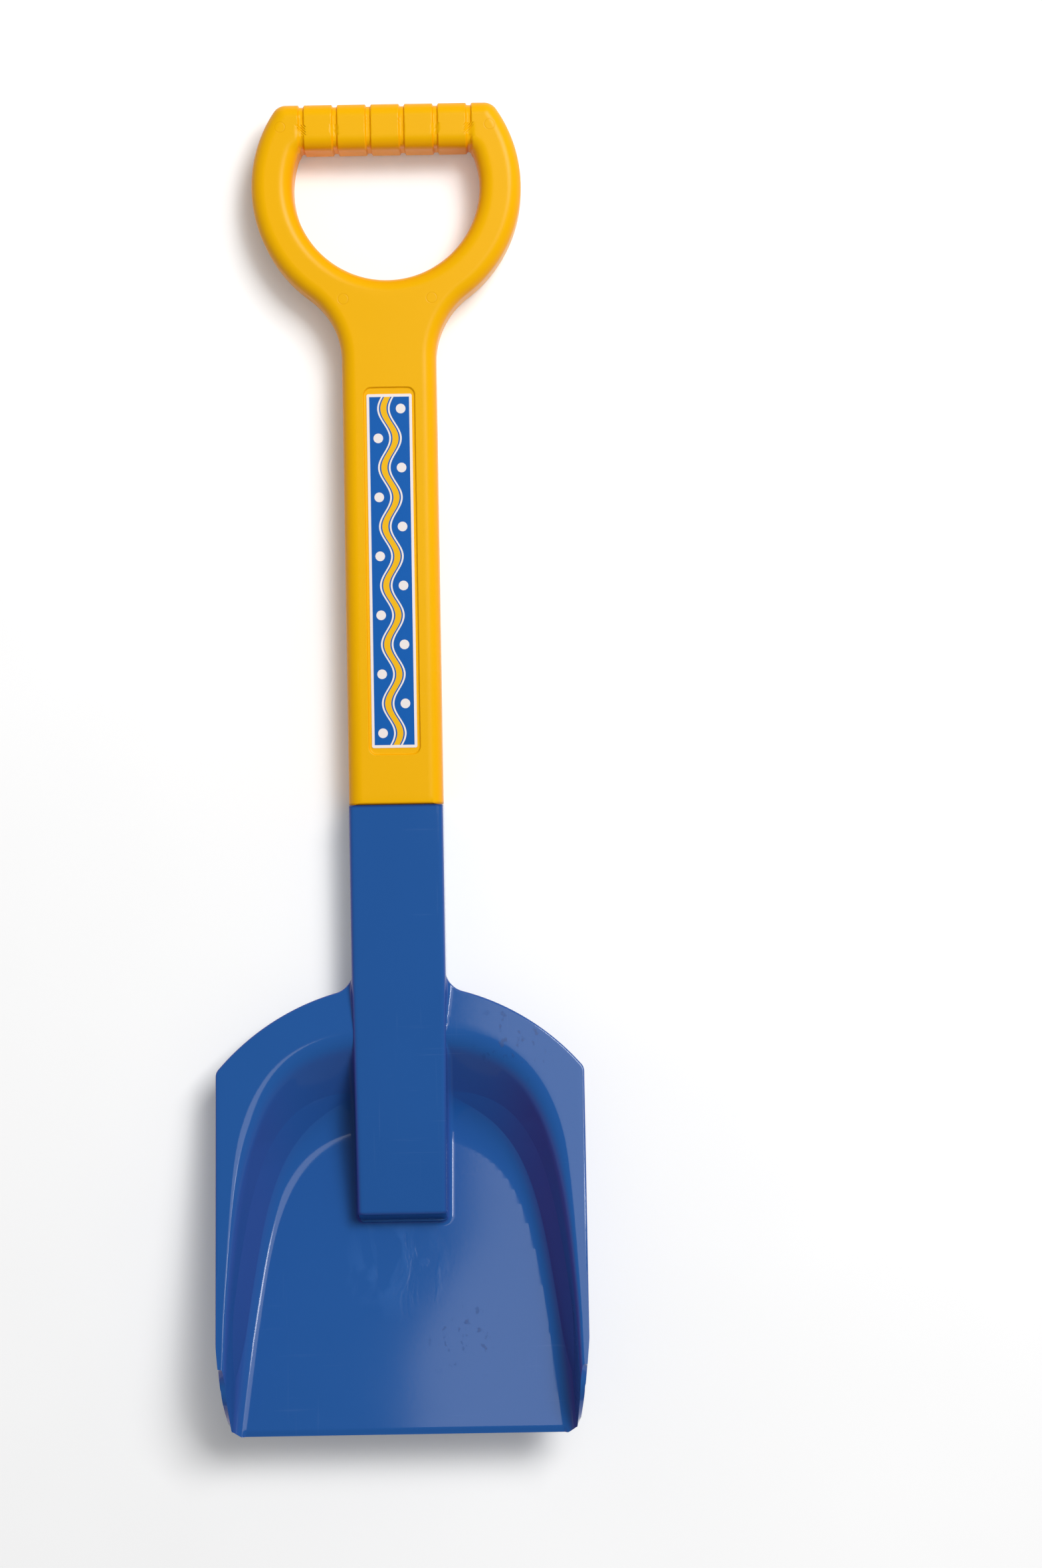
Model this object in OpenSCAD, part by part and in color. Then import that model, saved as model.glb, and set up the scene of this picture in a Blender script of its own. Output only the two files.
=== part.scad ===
// Child's sand shovel: a tilted scoop with a tubular stem, and a D-handle moulded as two shells
// whose tongue is pressed into that stem. It lies on its back: +Z up, +Y towards the D-grip,
// X across. The origin is at the middle of its length, on the surface that it lies on.

/* [Handle] */
// Length from the flat top of the grip to the seam with the blade
handle_len = 301.5; // [280:0.5:340]
// Thickness of the handle and of the blade's stem, front to back
handle_t = 24; // [23:0.5:28]
// Width of the handle's stem and of the blade's stem at the seam
stem_w = 40.5; // [36:0.5:46]
// Outer radius of the D-grip
grip_outer_r = 58; // [55:0.5:64]
// Width of the grip's arms, from their outer edge to the finger opening
grip_arm_w = 17.8; // [16:0.2:22]
// Depth of the grip's centre below its flat top
grip_drop = 35.5; // [33:0.5:40]
// Height of the grip bar
grip_bar_h = 19.8; // [17:0.2:23]
// Rounding of the two top corners of the grip
grip_corner_r = 6.5; // [6.2:0.1:9]
// Rounding of the two upper corners of the finger opening
finger_corner_r = 3; // [1:0.5:6]
// Radius of the throat between the grip and the stem
throat_r = 35; // [25:1:45]
// Rounding of the long edges, front and back
edge_r = 6; // [4:0.1:6.1]
// Rounding of the edge at the seam
seam_edge_r = 1.5; // [0.5:0.1:2]
// Wall of the two shells
shell_wall = 2.5; // [1.8:0.1:3.2]

/* [Grip grooves] */
// Number of grooves round the grip bar
groove_count = 6; // [2:1:6]
// Reach of the outer grooves past the straight underside of the grip bar
groove_out = 1.03; // [0:0.01:1.2]
// Width of a groove
groove_w = 2.3; // [1:0.1:3]
// Depth of a groove
groove_depth = 1; // [0.4:0.1:1.2]

/* [Label] */
// Width of the label
label_w = 19.4; // [14:0.1:22]
// Length of the label
label_len = 151.8; // [120:0.2:156]
// Thickness of the label
label_t = 0.25; // [0.1:0.05:0.4]
// Rounding of the label's corners
label_corner_r = 0.8; // [0.2:0.1:3]
// Recess beside the label, on each long side
recess_side_gap = 1.3; // [0.5:0.1:1.6]
// Recess beyond the label, at each end
recess_end_gap = 2.9; // [1:0.1:4]
// Depth of the recess
recess_depth = 0.8; // [0.5:0.1:1]
// Rounding of the recess's corners
recess_corner_r = 3.5; // [1:0.1:5]
// Distance from the seam to the recess
recess_rise = 21.5; // [12:0.5:24]

/* [Pegs] */
// Diameter of the pegs that join the two shells
peg_d = 5; // [3.5:0.1:6]
// Reach of a peg past the parting plane
peg_reach = 6; // [3:0.2:7]
// Wall of the bosses that take the pegs
boss_wall = 2; // [1.2:0.1:2.2]
// Gap round a peg in its boss
peg_gap = 0.05; // [0.02:0.01:0.15]
// Pegs at the top corners: distance past the straight top of the grip
corner_peg_out = 2.4; // [0.4:0.1:2.8]
// Pegs at the top corners: depth below the flat top
corner_peg_drop = 10.2; // [9.4:0.1:11]
// Pegs in the throat: distance from the centre line
throat_peg_x = 19; // [14:0.5:22]
// Pegs in the throat: distance below the finger opening
throat_peg_drop = 8.6; // [7.6:0.2:12]
// Pegs along the stem
stem_peg_count = 3; // [1:1:4]

/* [Press joint] */
// Length of the tongue in the blade's stem
tongue_len = 74; // [50:1:76]
// Gap between the tongue and its socket
tongue_gap = 0.1; // [0.05:0.01:0.2]
// Wall of the blade's stem
socket_wall = 2.6; // [2:0.1:3.2]
// Height of the ridge on the tongue that snaps into the socket
snap_h = 0.6; // [0.3:0.05:0.8]
// Radius of the snap ridge
snap_r = 3; // [2:0.1:5]
// Distance of the snap ridge from the seam
snap_drop = 55; // [20:1:60]

/* [Blade] */
// Length of the blade from the seam to the front edge
blade_len = 268.5; // [260:0.5:300]
// Greatest width of the blade
pan_w = 158; // [140:0.5:180]
// Length from the rear of the flange to the front edge
pan_len = 191.5; // [186:0.5:196]
// Length of the floor, from its heel to the front edge
floor_len = 123.5; // [118:0.5:128]
// Distance from the front edge to the end of the stem's face
stem_setback = 94.5; // [88:0.5:100]
// Wall of the scoop
pan_wall = 2.6; // [1.8:0.1:3.2]
// Depth of the flange's rear edge below the face of the stem
flange_drop = 5.5; // [5:0.1:7]
// Lift of the flange towards the front, in degrees
flange_lift = 11.3; // [8:0.1:14]
// Lift of the floor towards the front, in degrees
floor_lift = 13.5; // [10:0.1:16]
// Radius of the flange's rear outline
rear_r = 103.5; // [96:0.5:130]
// Rounding of the two shoulders
shoulder_r = 4.5; // [2:0.5:9]
// Rounding between the stem and the flange's rear edge
neck_r = 7; // [3:0.5:10]
// Width of the flange at the rear
flange_rear_w = 23; // [20:0.5:26]
// Width of the flange at the front
flange_front_w = 2.8; // [2.6:0.1:5]
// Run of the side wall at the front edge, from its rim to the floor
side_run = 8.8; // [7:0.1:12]
// Fullness of the rim's rear corners: share of the half width that its rear reaches out
rim_full_rear = 0.845; // [0.8:0.005:0.86]
// Fullness of the rim's rear corners: share of the half width that its side stands out
rim_full_side = 0.93; // [0.91:0.005:0.95]
// Length over which the rim turns from the rear to the side
rim_turn = 26; // [22:0.5:30]
// Fullness of the floor's rear corners: share of the half width that its rear reaches out
floor_full_rear = 0.83; // [0.78:0.005:0.86]
// Fullness of the floor's rear corners: share of the half width that its side stands out
floor_full_side = 0.84; // [0.82:0.005:0.88]
// Length over which the floor's edge turns from the rear to the side
floor_turn = 33; // [28:0.5:38]
// Rounding of the rim, measured along the flange
rim_blend = 2.4; // [1.8:0.1:3]
// Rounding where the rear wall meets the floor, measured along the floor
heel_blend = 8.5; // [5:0.1:10]
// Rounding where the side walls meet the floor, measured along the floor
side_blend = 4.6; // [3:0.1:6]
// Narrowing of the stem's half width along the scoop
stem_taper = 1.1; // [0:0.1:2]
// Rounding of the stem's edges on the blade
stem_edge_r = 2.2; // [1:0.1:3]
// Distance from the heel at which the stem's back turns up into the scoop
stem_turn = 13.6; // [12:0.2:18]
// Lean of the stem's end wall, in degrees
stem_end_lean = 20; // [5:1:30]
// Distance from the front edge at which the side walls are cut down
front_cut = 24; // [16:0.5:30]
// Height of the side walls that is left at the front edge
front_lip = 3; // [2:0.1:6]
// Draw-in of the two sides at the front edge, in plan
front_draw = 5.1; // [3:0.1:6]
// Rounding of the two front corners, in plan
front_corner_r = 6; // [2:0.5:7]
// Width of the bevel along the front edge
bevel_w = 2.6; // [1:0.1:4]
// Drop of the bevel at the front edge
bevel_drop = 0.9; // [0.3:0.1:1.2]

/* [Hidden] */

handle_yellow = "#f2b400";
blade_blue = "#1f55a5";
label_white = "#f0e6e4";

$fn = 48;
// Overlap that lets two joined solids share volume, and cutters run past a face
lap = 1;

overall_len = handle_len + blade_len;
parting_z = handle_t / 2;
stem_half = stem_w / 2;

// Stations along the axis, measured from the flat top of the grip towards the front edge
seam_s = handle_len;
front_s = overall_len;
flange_s = front_s - pan_len;
rim_s = flange_s + flange_rear_w;
heel_s = front_s - floor_len;
stem_end_s = front_s - stem_setback;

// Place on the +Y axis of a station
function along(s) = overall_len / 2 - s;

// Grip outline: one half from the top centre to the seam centre, drawn in by an inset

top_corner_x = sqrt(pow(grip_outer_r - grip_corner_r, 2) - pow(grip_drop - grip_corner_r, 2));
top_corner_a = atan2(top_corner_x, grip_drop - grip_corner_r);
throat_x = stem_half + throat_r;
throat_s = grip_drop + sqrt(pow(grip_outer_r + throat_r, 2) - pow(throat_x, 2));
throat_a = atan2(throat_x, grip_drop - throat_s);
grip_inner_r = grip_outer_r - grip_arm_w;
finger_x = sqrt(pow(grip_inner_r - finger_corner_r, 2)
    - pow(grip_drop - grip_bar_h - finger_corner_r, 2));
finger_a = atan2(finger_x, grip_drop - grip_bar_h - finger_corner_r);
groove_pitch = 2 * (finger_x + groove_out) / (groove_count - 1);

corner_steps = 5;
grip_steps = 28;
throat_steps = 10;
edge_steps = 4;

// Arc round a centre, from angle a to angle b, both turned from the top of the grip
function arc(cx, cs, r, a, b, n) = [for (i = [0:n]) let (t = a + (b - a) * i / n)
    [cx + r * sin(t), cs - r * cos(t)]];

// Half outline of the handle, inset by d and held back by e at the seam
function handle_half(d, e) = concat(
    [[0, d]],
    arc(top_corner_x, grip_corner_r, grip_corner_r - d, 0, top_corner_a, corner_steps),
    [for (i = [1:grip_steps]) let (t = top_corner_a + (throat_a - top_corner_a) * i / grip_steps)
        [(grip_outer_r - d) * sin(t), grip_drop - (grip_outer_r - d) * cos(t)]],
    [for (i = [1:throat_steps]) let (t = throat_a + (90 - throat_a) * i / throat_steps)
        [throat_x - (throat_r + d) * sin(t), throat_s + (throat_r + d) * cos(t)]],
    [[stem_half - d, seam_s - e], [0, seam_s - e]]);

// Half outline of the finger opening, widened by d
function finger_half(d) = concat(
    [[0, grip_bar_h - d]],
    arc(finger_x, grip_bar_h + finger_corner_r, finger_corner_r + d, 0, finger_a, corner_steps),
    [for (i = [1:grip_steps]) let (t = finger_a + (180 - finger_a) * i / grip_steps)
        [(grip_inner_r + d) * sin(t), grip_drop - (grip_inner_r + d) * cos(t)]]);

// Closed loop from a half outline whose first and last points lie on the centre line
function mirrored(half) = concat(half, [for (i = [len(half) - 2:-1:1]) [-half[i][0], half[i][1]]]);

// Loop of a half outline at a height
function raised(half, z) = [for (p = mirrored(half)) [p[0], along(p[1]), z]];

// Draw-in of the seam's edge at a height
function seam_inset(z) = let (rise = z - (handle_t - seam_edge_r))
    rise <= 0 ? 0 : seam_edge_r - sqrt(max(0, pow(seam_edge_r, 2) - pow(rise, 2)));

// Inset and height of a shell's rings, from the parting plane over the rounded edge
function edge_rings(wall) = concat([[wall, parting_z]],
    [for (i = [0:edge_steps]) let (t = 90 * i / edge_steps, r = edge_r - wall)
        [wall + r * (1 - cos(t)), handle_t - edge_r + r * sin(t)]]);

// Triangles between two closed rings of n points
function ring_band(a, b, n) = [for (i = [0:n - 1]) let (j = (i + 1) % n)
    each bridge(a + i, b + i, b + j, a + j)];

// Four points in order as two triangles
function bridge(a, b, c, d) = [[a, b, c], [a, c, d]];

// The same face list seen from the other side
function flipped(faces) = [for (f = faces) [for (i = [len(f) - 1:-1:0]) f[i]]];

// One shell of the handle with its open side on the parting plane
module handle_shell() {
    outer = [for (r = edge_rings(0)) raised(handle_half(r[0], seam_inset(r[1])), r[1])];
    outer_hole = [for (r = edge_rings(0)) raised(finger_half(r[0]), r[1])];
    inner = [for (r = edge_rings(shell_wall)) raised(handle_half(r[0], shell_wall), r[1])];
    inner_hole = [for (r = edge_rings(shell_wall)) raised(finger_half(r[0]), r[1])];

    n = len(outer[0]);
    m = len(outer_hole[0]);
    half_m = m / 2;
    last = len(outer) - 1;
    hole_0 = n * (last + 1);
    inner_0 = hole_0 + m * (last + 1);
    inner_hole_0 = inner_0 + n * (last + 1);

    function bands(start, count) = [for (k = [0:last - 1])
        each ring_band(start + k * count, start + (k + 1) * count, count)];
    // Flat face of a loop round the opening: matching points are bridged, and the stem fans out below
    function flat_face(loop, hole) = concat(
        [for (i = [0:half_m - 1]) each bridge(loop + i, loop + i + 1, hole + i + 1, hole + i)],
        [for (i = [0:half_m - 1]) each bridge(loop + n - i - 1, loop + (n - i) % n,
            hole + (m - i) % m, hole + m - i - 1)],
        [for (i = [half_m:n - half_m - 1]) [hole + half_m, loop + i, loop + i + 1]]);

    polyhedron(
        points = [for (ring = concat(outer, outer_hole, inner, inner_hole)) each ring],
        faces = concat(
            flipped(bands(0, n)),
            bands(hole_0, m),
            bands(inner_0, n),
            flipped(bands(inner_hole_0, m)),
            flat_face(last * n, hole_0 + last * m),
            flipped(flat_face(inner_0 + last * n, inner_hole_0 + last * m)),
            ring_band(0, inner_0, n),
            flipped(ring_band(hole_0, inner_hole_0, m))));
}

// Rectangle round the origin with rounded corners
module rounded_rect(w, h, r) {
    square([w - 2 * r, h], center = true);
    square([w, h - 2 * r], center = true);
    for (x = [-1, 1], y = [-1, 1])
        translate([x * (w / 2 - r), y * (h / 2 - r)]) circle(r);
}

// Solid of a section in X and Z, between two stations
module along_axis(from_s, to_s) {
    translate([0, along(from_s), parting_z]) rotate([90, 0, 0]) linear_extrude(to_s - from_s) children();
}

// Cutters for the grooves that ring the grip bar
module grip_grooves() {
    for (i = [0:groove_count - 1])
        translate([(i - (groove_count - 1) / 2) * groove_pitch - groove_w / 2,
                along(grip_bar_h / 2), parting_z])
            rotate([90, 0, 90]) linear_extrude(groove_w) difference() {
                square([grip_bar_h + lap, handle_t + lap], center = true);
                rounded_rect(grip_bar_h - 2 * groove_depth, handle_t - 2 * groove_depth,
                    edge_r - groove_depth);
            }
}

// Tongue

tongue_w = stem_w - 2 * (socket_wall + tongue_gap);
tongue_t = handle_t - 2 * (socket_wall + tongue_gap);
tongue_corner_r = 1.2;

// Half of the tongue, from the end wall of the shell to its closed tip
module half_tongue() {
    intersection() {
        along_axis(seam_s - shell_wall, seam_s + tongue_len)
            rounded_rect(tongue_w, tongue_t, tongue_corner_r);
        translate([-stem_w / 2, along(seam_s + tongue_len + lap), parting_z])
            cube([stem_w, tongue_len + shell_wall + 2 * lap, handle_t]);
    }
}

// Hollow of the tongue, which opens into the shell
module tongue_hollow() {
    along_axis(seam_s - shell_wall - lap, seam_s + tongue_len - shell_wall)
        square([tongue_w - 2 * shell_wall, tongue_t - 2 * shell_wall], center = true);
}

// Ridge across the tongue's back, or the groove for it when it is grown by a gap
module snap_ridge(grow) {
    length = tongue_w / 2;
    translate([-length / 2 - grow, along(seam_s + snap_drop), socket_wall + tongue_gap + snap_r - snap_h])
        rotate([0, 90, 0]) cylinder(r = snap_r + grow, h = length + 2 * grow);
}

// Places of the pegs that join the two shells

recess_w = label_w + 2 * recess_side_gap;
recess_len = label_len + 2 * recess_end_gap;
recess_mid_s = seam_s - recess_rise - recess_len / 2;
throat_peg_s = grip_drop + grip_inner_r + throat_peg_drop;
stem_peg_step = recess_len / (stem_peg_count + 1);

peg_places = concat(
    [for (x = [-1, 1]) [x * (top_corner_x + corner_peg_out), corner_peg_drop]],
    [for (x = [-1, 1]) [x * throat_peg_x, throat_peg_s]],
    [for (i = [1:stem_peg_count]) [0, recess_mid_s - recess_len / 2 + i * stem_peg_step]]);

module at_pegs() {
    for (p = peg_places) translate([p[0], along(p[1]), 0]) children();
}

module handle_front() color(handle_yellow) {
    pin_z = parting_z - peg_reach;
    difference() {
        union() {
            handle_shell();
            half_tongue();
            at_pegs() translate([0, 0, pin_z])
                cylinder(d = peg_d, h = handle_t - shell_wall / 2 - recess_depth - pin_z);
        }
        tongue_hollow();
        grip_grooves();
        translate([0, along(recess_mid_s), handle_t - recess_depth])
            linear_extrude(recess_depth + lap) rounded_rect(recess_w, recess_len, recess_corner_r);
    }
}

module handle_back() color(handle_yellow) {
    hole_floor = parting_z - peg_reach - lap;
    difference() {
        union() {
            translate([0, 0, handle_t]) mirror([0, 0, 1]) {
                handle_shell();
                half_tongue();
            }
            intersection() {
                snap_ridge(0);
                translate([-stem_w / 2, along(seam_s + tongue_len), 0])
                    cube([stem_w, tongue_len, socket_wall + tongue_gap + shell_wall / 2]);
            }
            at_pegs() translate([0, 0, shell_wall / 2])
                cylinder(d = peg_d + 2 * (peg_gap + boss_wall), h = parting_z - shell_wall / 2);
        }
        tongue_hollow();
        grip_grooves();
        at_pegs() translate([0, 0, hole_floor])
            cylinder(d = peg_d + 2 * peg_gap, h = parting_z - hole_floor + lap);
    }
}

module label() color(label_white) {
    translate([0, along(recess_mid_s), handle_t - recess_depth])
        linear_extrude(label_t) rounded_rect(label_w, label_len, label_corner_r);
}

// Scoop

flange_slope = tan(flange_lift);
floor_slope = tan(floor_lift);

// Height of the flange's top at a station
function flange_z(s) = handle_t - flange_drop + flange_slope * (s - flange_s);

// Sag of the rounded heel below the plane of the floor, which lifts the floor so that the heel touches down
heel_lean = atan2(flange_z(rim_s) - pan_wall, heel_s - rim_s - heel_blend);
heel_reach = heel_blend + pan_wall * tan(heel_lean / 2);
heel_sag = pow(floor_slope, 2) * heel_reach / (sin(heel_lean) + floor_slope);

// Height of the floor's top at a station
function floor_z(s) = pan_wall + heel_sag + floor_slope * (s - heel_s);

// Outer edge of the flange: rear arc with a rounding at the stem, a shoulder and a straight side
side_x = pan_w / 2;
rear_centre_s = flange_s + rear_r;
shoulder_x = side_x - shoulder_r;
shoulder_s = rear_centre_s - sqrt(pow(rear_r - shoulder_r, 2) - pow(shoulder_x, 2));
shoulder_a = atan2(shoulder_x, rear_centre_s - shoulder_s);
rear_end_x = rear_r * sin(shoulder_a);

// Start of the rounding at the stem, a little inside the stem's side
neck_bury = 0.4;
neck_x = stem_half - neck_bury;
function neck_rise(x) = let (reach = neck_x + neck_r - x)
    reach <= 0 ? 0 : neck_r - sqrt(max(0, pow(neck_r, 2) - pow(min(reach, neck_r), 2)));
function rear_edge(x) = [x, rear_centre_s - sqrt(pow(rear_r, 2) - pow(x, 2)) - neck_rise(x)];

neck_steps = 4;
rear_steps = 10;
shoulder_steps = 4;
side_steps = 16;

outer_rear = concat(
    [0],
    [for (i = [0:neck_steps]) neck_x + neck_r * (1 - cos(90 * i / neck_steps))],
    [for (i = [1:rear_steps]) neck_x + neck_r + (rear_end_x - neck_x - neck_r) * i / rear_steps]);
outer_half = concat(
    [for (x = outer_rear) rear_edge(x)],
    [for (i = [1:shoulder_steps]) let (t = shoulder_a + (90 - shoulder_a) * i / shoulder_steps)
        [shoulder_x + shoulder_r * sin(t), shoulder_s - shoulder_r * cos(t)]],
    [for (i = [1:side_steps]) [side_x, shoulder_s + (front_s - shoulder_s) * i / side_steps]]);

// Share of the way round the scoop at each point of the outer edge: the shoulder lies at turn_share
turn_share = 0.47;
last_rear = len(outer_rear) - 1;
last_side = len(outer_half) - 1;
rear_share = rear_end_x / side_x;
function share(i) = i <= last_rear ? turn_share * outer_rear[i] / side_x
    : i <= last_rear + shoulder_steps
        ? turn_share * (rear_share + (1 - rear_share) * (i - last_rear) / shoulder_steps)
        : turn_share + (1 - turn_share) * (i - last_rear - shoulder_steps) / side_steps;

// Cubic curve through four control points
function bezier(p, t) = pow(1 - t, 3) * p[0] + 3 * t * pow(1 - t, 2) * p[1]
    + 3 * t * t * (1 - t) * p[2] + pow(t, 3) * p[3];

// Rim and floor edge, each one curve from the centre line at the rear to the front edge
rim_front_x = side_x - flange_front_w;
floor_front_x = rim_front_x - side_run;
rim_curve = [[0, rim_s], [rim_front_x * rim_full_rear, rim_s],
    [rim_front_x * rim_full_side, rim_s + rim_turn], [rim_front_x, front_s]];
floor_curve = [[0, heel_s], [floor_front_x * floor_full_rear, heel_s],
    [floor_front_x * floor_full_side, heel_s + floor_turn], [floor_front_x, front_s]];

// Point on a quadratic blend from a over the corner c to b
function blend(a, c, b, t) = (1 - t) * (1 - t) * a + 2 * t * (1 - t) * c + t * t * b;

// Share of the wall's set-back that the rounding under the rim gives up
under_tuck = 0.9;
rim_steps = 3;
heel_steps = 5;

// Point of the flange or the floor over a place in plan, at a depth below its top
function on_flange(p, depth) = [p[0], p[1], flange_z(p[1]) - depth];
function on_floor(p, depth) = [p[0], p[1], floor_z(p[1]) - depth];

// Wall profile of a station, on the side given by depth: 0 for the top skin, pan_wall for the underside
function profile(i, depth) =
    let (t = share(i), rim = bezier(rim_curve, t), foot = bezier(floor_curve, t), edge = outer_half[i],
        run = norm(foot - rim),
        way = (foot - rim) / run,
        out = norm(edge - rim),
        floor_blend = side_blend + (heel_blend - side_blend) * pow(1 - t, 2),
        top = on_flange(rim, 0),
        corner = on_floor(foot - way * floor_blend, 0),
        lean = atan2(top[2] - corner[2], run - floor_blend),
        back = depth * tan(lean / 2),
        wall_way = (corner - top) / norm(corner - top),
        rim_reach = rim_blend - under_tuck * back,
        knee = on_flange(rim - way * back, depth),
        knee_out = on_flange(rim - way * back + (edge - rim) / out * rim_reach, depth),
        bend = on_floor([corner[0], corner[1]] - way * back, depth))
    concat(
        [on_flange(edge, depth)],
        [for (k = [0:rim_steps]) blend(knee_out, knee, knee + wall_way * rim_reach, k / rim_steps)],
        [for (k = [0:heel_steps])
            blend(bend - wall_way * (floor_blend + back), bend, on_floor(foot, depth), k / heel_steps)]);

// The scoop's skin before the stem joins it
module pan() {
    half_stations = [for (i = [0:last_side]) i];
    across = concat([for (i = [last_side:-1:1]) [i, -1]], [for (i = half_stations) [i, 1]]);
    function placed(p, side) = [side * p[0], along(p[1]), p[2]];
    top = [for (a = across) [for (p = profile(a[0], 0)) placed(p, a[1])]];
    under = [for (a = across) [for (p = profile(a[0], pan_wall)) placed(p, a[1])]];
    rows = len(across);
    cols = len(top[0]);
    under_0 = rows * cols;
    function grid(start) = [for (i = [0:rows - 2], j = [0:cols - 2])
        let (a = start + i * cols + j, b = a + cols) each bridge(a, a + 1, b + 1, b)];
    function end_face(i) = [for (j = [0:cols - 2]) let (a = i * cols + j, b = under_0 + a)
        each bridge(a, a + 1, b + 1, b)];
    edge_strip = [for (i = [0:rows - 2]) let (a = i * cols, b = a + cols)
        each bridge(a, b, under_0 + b, under_0 + a)];
    // The flat floor fans out from a point on its centre line
    function foot(i) = i * cols + cols - 1;
    mid = 2 * under_0;
    mid_point = [0, front_s - floor_len / 4];
    function floor_face(start, hub) = [for (i = [0:rows - 1])
        [start + foot(i), start + foot((i + 1) % rows), hub]];
    polyhedron(
        points = concat([for (r = top) each r], [for (r = under) each r],
            [placed(on_floor(mid_point, 0), 1), placed(on_floor(mid_point, pan_wall), 1)]),
        faces = concat(flipped(grid(0)), grid(under_0), flipped(edge_strip),
            floor_face(0, mid), flipped(floor_face(under_0, mid + 1)),
            end_face(0), flipped(end_face(rows - 1)),
            bridge(foot(0), foot(rows - 1), under_0 + foot(rows - 1), under_0 + foot(0))));
}

// Stem of the blade

stem_corner_steps = 4;

// Rounded section in X and Z at a station, leaning back towards its top by a slope
function stem_section(s, half, low, high, r, slope) = [
    for (q = [[1, 1, 0], [-1, 1, 90], [-1, -1, 180], [1, -1, 270]], i = [0:stem_corner_steps])
        let (t = q[2] + 90 * i / stem_corner_steps,
            x = q[0] * (half - r) + r * cos(t),
            z = (q[1] > 0 ? high - r : low + r) + r * sin(t))
        [x, along(s + (high - z) * slope), z]];

// Solid through a row of sections with equal point counts
module loft(sections) {
    n = len(sections[0]);
    last = len(sections) - 1;
    polyhedron(
        points = [for (q = sections) each q],
        faces = concat(
            [for (k = [0:last - 1]) each ring_band(k * n, (k + 1) * n, n)],
            [[for (i = [0:n - 1]) i]],
            [[for (i = [n - 1:-1:0]) last * n + i]]));
}

end_slope = tan(stem_end_lean);
// Station at which the stem's back turns up into the heel of the scoop
stem_turn_s = heel_s - stem_turn;

// Half width of the stem at a station of its tapered run, which ends at tip_s
function tapered(half, s, tip_s) = half - stem_taper * (s - flange_s) / (tip_s - flange_s);

module stem_solid() {
    tip_half = stem_half - stem_taper;
    base_s = stem_end_s + (handle_t - floor_z(stem_end_s)) * end_slope;
    tip_low = floor_z(base_s) - pan_wall / 2;
    tip_turn = [0, 45, 90];
    loft(concat(
        [stem_section(seam_s, stem_half, 0, handle_t, stem_edge_r, 0),
            stem_section(flange_s, stem_half, 0, handle_t, stem_edge_r, 0),
            stem_section(stem_turn_s, tapered(stem_half, stem_turn_s, stem_end_s), 0, handle_t,
                stem_edge_r, 0)],
        [for (t = tip_turn) let (inset = stem_edge_r * (1 - cos(t)))
            stem_section(stem_end_s + stem_edge_r * sin(t), tip_half - inset, tip_low,
                handle_t - inset, stem_edge_r, end_slope)]));
}

socket_corner_r = 1;

module socket() {
    half = stem_half - socket_wall;
    high = handle_t - socket_wall;
    tip_s = stem_end_s - socket_wall;
    tip_half = half - stem_taper;
    loft([
        stem_section(seam_s - lap, half, socket_wall, high, socket_corner_r, 0),
        stem_section(flange_s, half, socket_wall, high, socket_corner_r, 0),
        stem_section(stem_turn_s, tapered(half, stem_turn_s, tip_s), socket_wall, high, socket_corner_r, 0),
        stem_section(tip_s, tip_half, floor_z(tip_s), high, socket_corner_r, 0)]);
}

// Side-view outline of what is cut off the side walls at the front, extruded across the blade
module front_cutter() {
    knee_s = front_s - front_cut;
    knee = [knee_s, flange_z(knee_s)];
    toe = [front_s + lap, floor_z(front_s) + front_lip];
    reach = front_cut / 2;
    cut_lift = lap / 2;
    start = [knee_s - reach, flange_z(knee_s - reach) + cut_lift];
    fall = (toe - knee) / norm(toe - knee);
    over = [0, pan_w];
    steps = 6;
    outline = concat(
        [for (k = [0:steps]) blend(start, knee, knee + fall * reach, k / steps)],
        [toe, toe + over, start + over]);
    rotate([90, 0, 90]) linear_extrude(pan_w + 2 * lap, center = true)
        polygon([for (p = outline) [along(p[0]), p[1]]]);
}

// Plan of the scoop, whose sides draw in towards the front edge and end in round corners
module front_plan() {
    start = [side_x + lap / 2, front_s - 2 * front_cut];
    knee = [side_x, front_s - front_cut];
    toe = [side_x - front_draw, front_s + lap];
    steps = 6;
    half = concat([[pan_w, seam_s]], [for (k = [0:steps]) blend(start, knee, toe, k / steps)]);
    offset(r = front_corner_r) offset(delta = -front_corner_r)
        polygon([for (m = [1, -1], i = [0:steps + 1]) let (p = half[m > 0 ? i : steps + 1 - i])
            [m * p[0], along(p[1])]]);
}

// What the plan leaves out at the two front corners
module front_trim() {
    linear_extrude(flange_z(front_s)) difference() {
        translate([-pan_w, along(front_s) - 2 * lap]) square([2 * pan_w, 2 * front_cut + 2 * lap]);
        front_plan();
    }
}

// Wedge that thins the front edge
module front_bevel() {
    inner_s = front_s - bevel_w;
    outer_s = front_s + lap;
    fall = bevel_drop * (outer_s - inner_s) / bevel_w;
    over = [0, lap];
    inner = [inner_s, floor_z(inner_s)];
    outer = [outer_s, floor_z(outer_s) - fall];
    outline = [inner, outer, outer + 2 * over, inner + over];
    rotate([90, 0, 90]) linear_extrude(2 * (floor_front_x + lap), center = true)
        polygon([for (p = outline) [along(p[0]), p[1]]]);
}

module blade() color(blade_blue) {
    difference() {
        union() {
            pan();
            stem_solid();
        }
        socket();
        snap_ridge(tongue_gap);
        front_cutter();
        front_trim();
        front_bevel();
    }
}

blade();
handle_front();
handle_back();
label();
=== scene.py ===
import math

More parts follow.
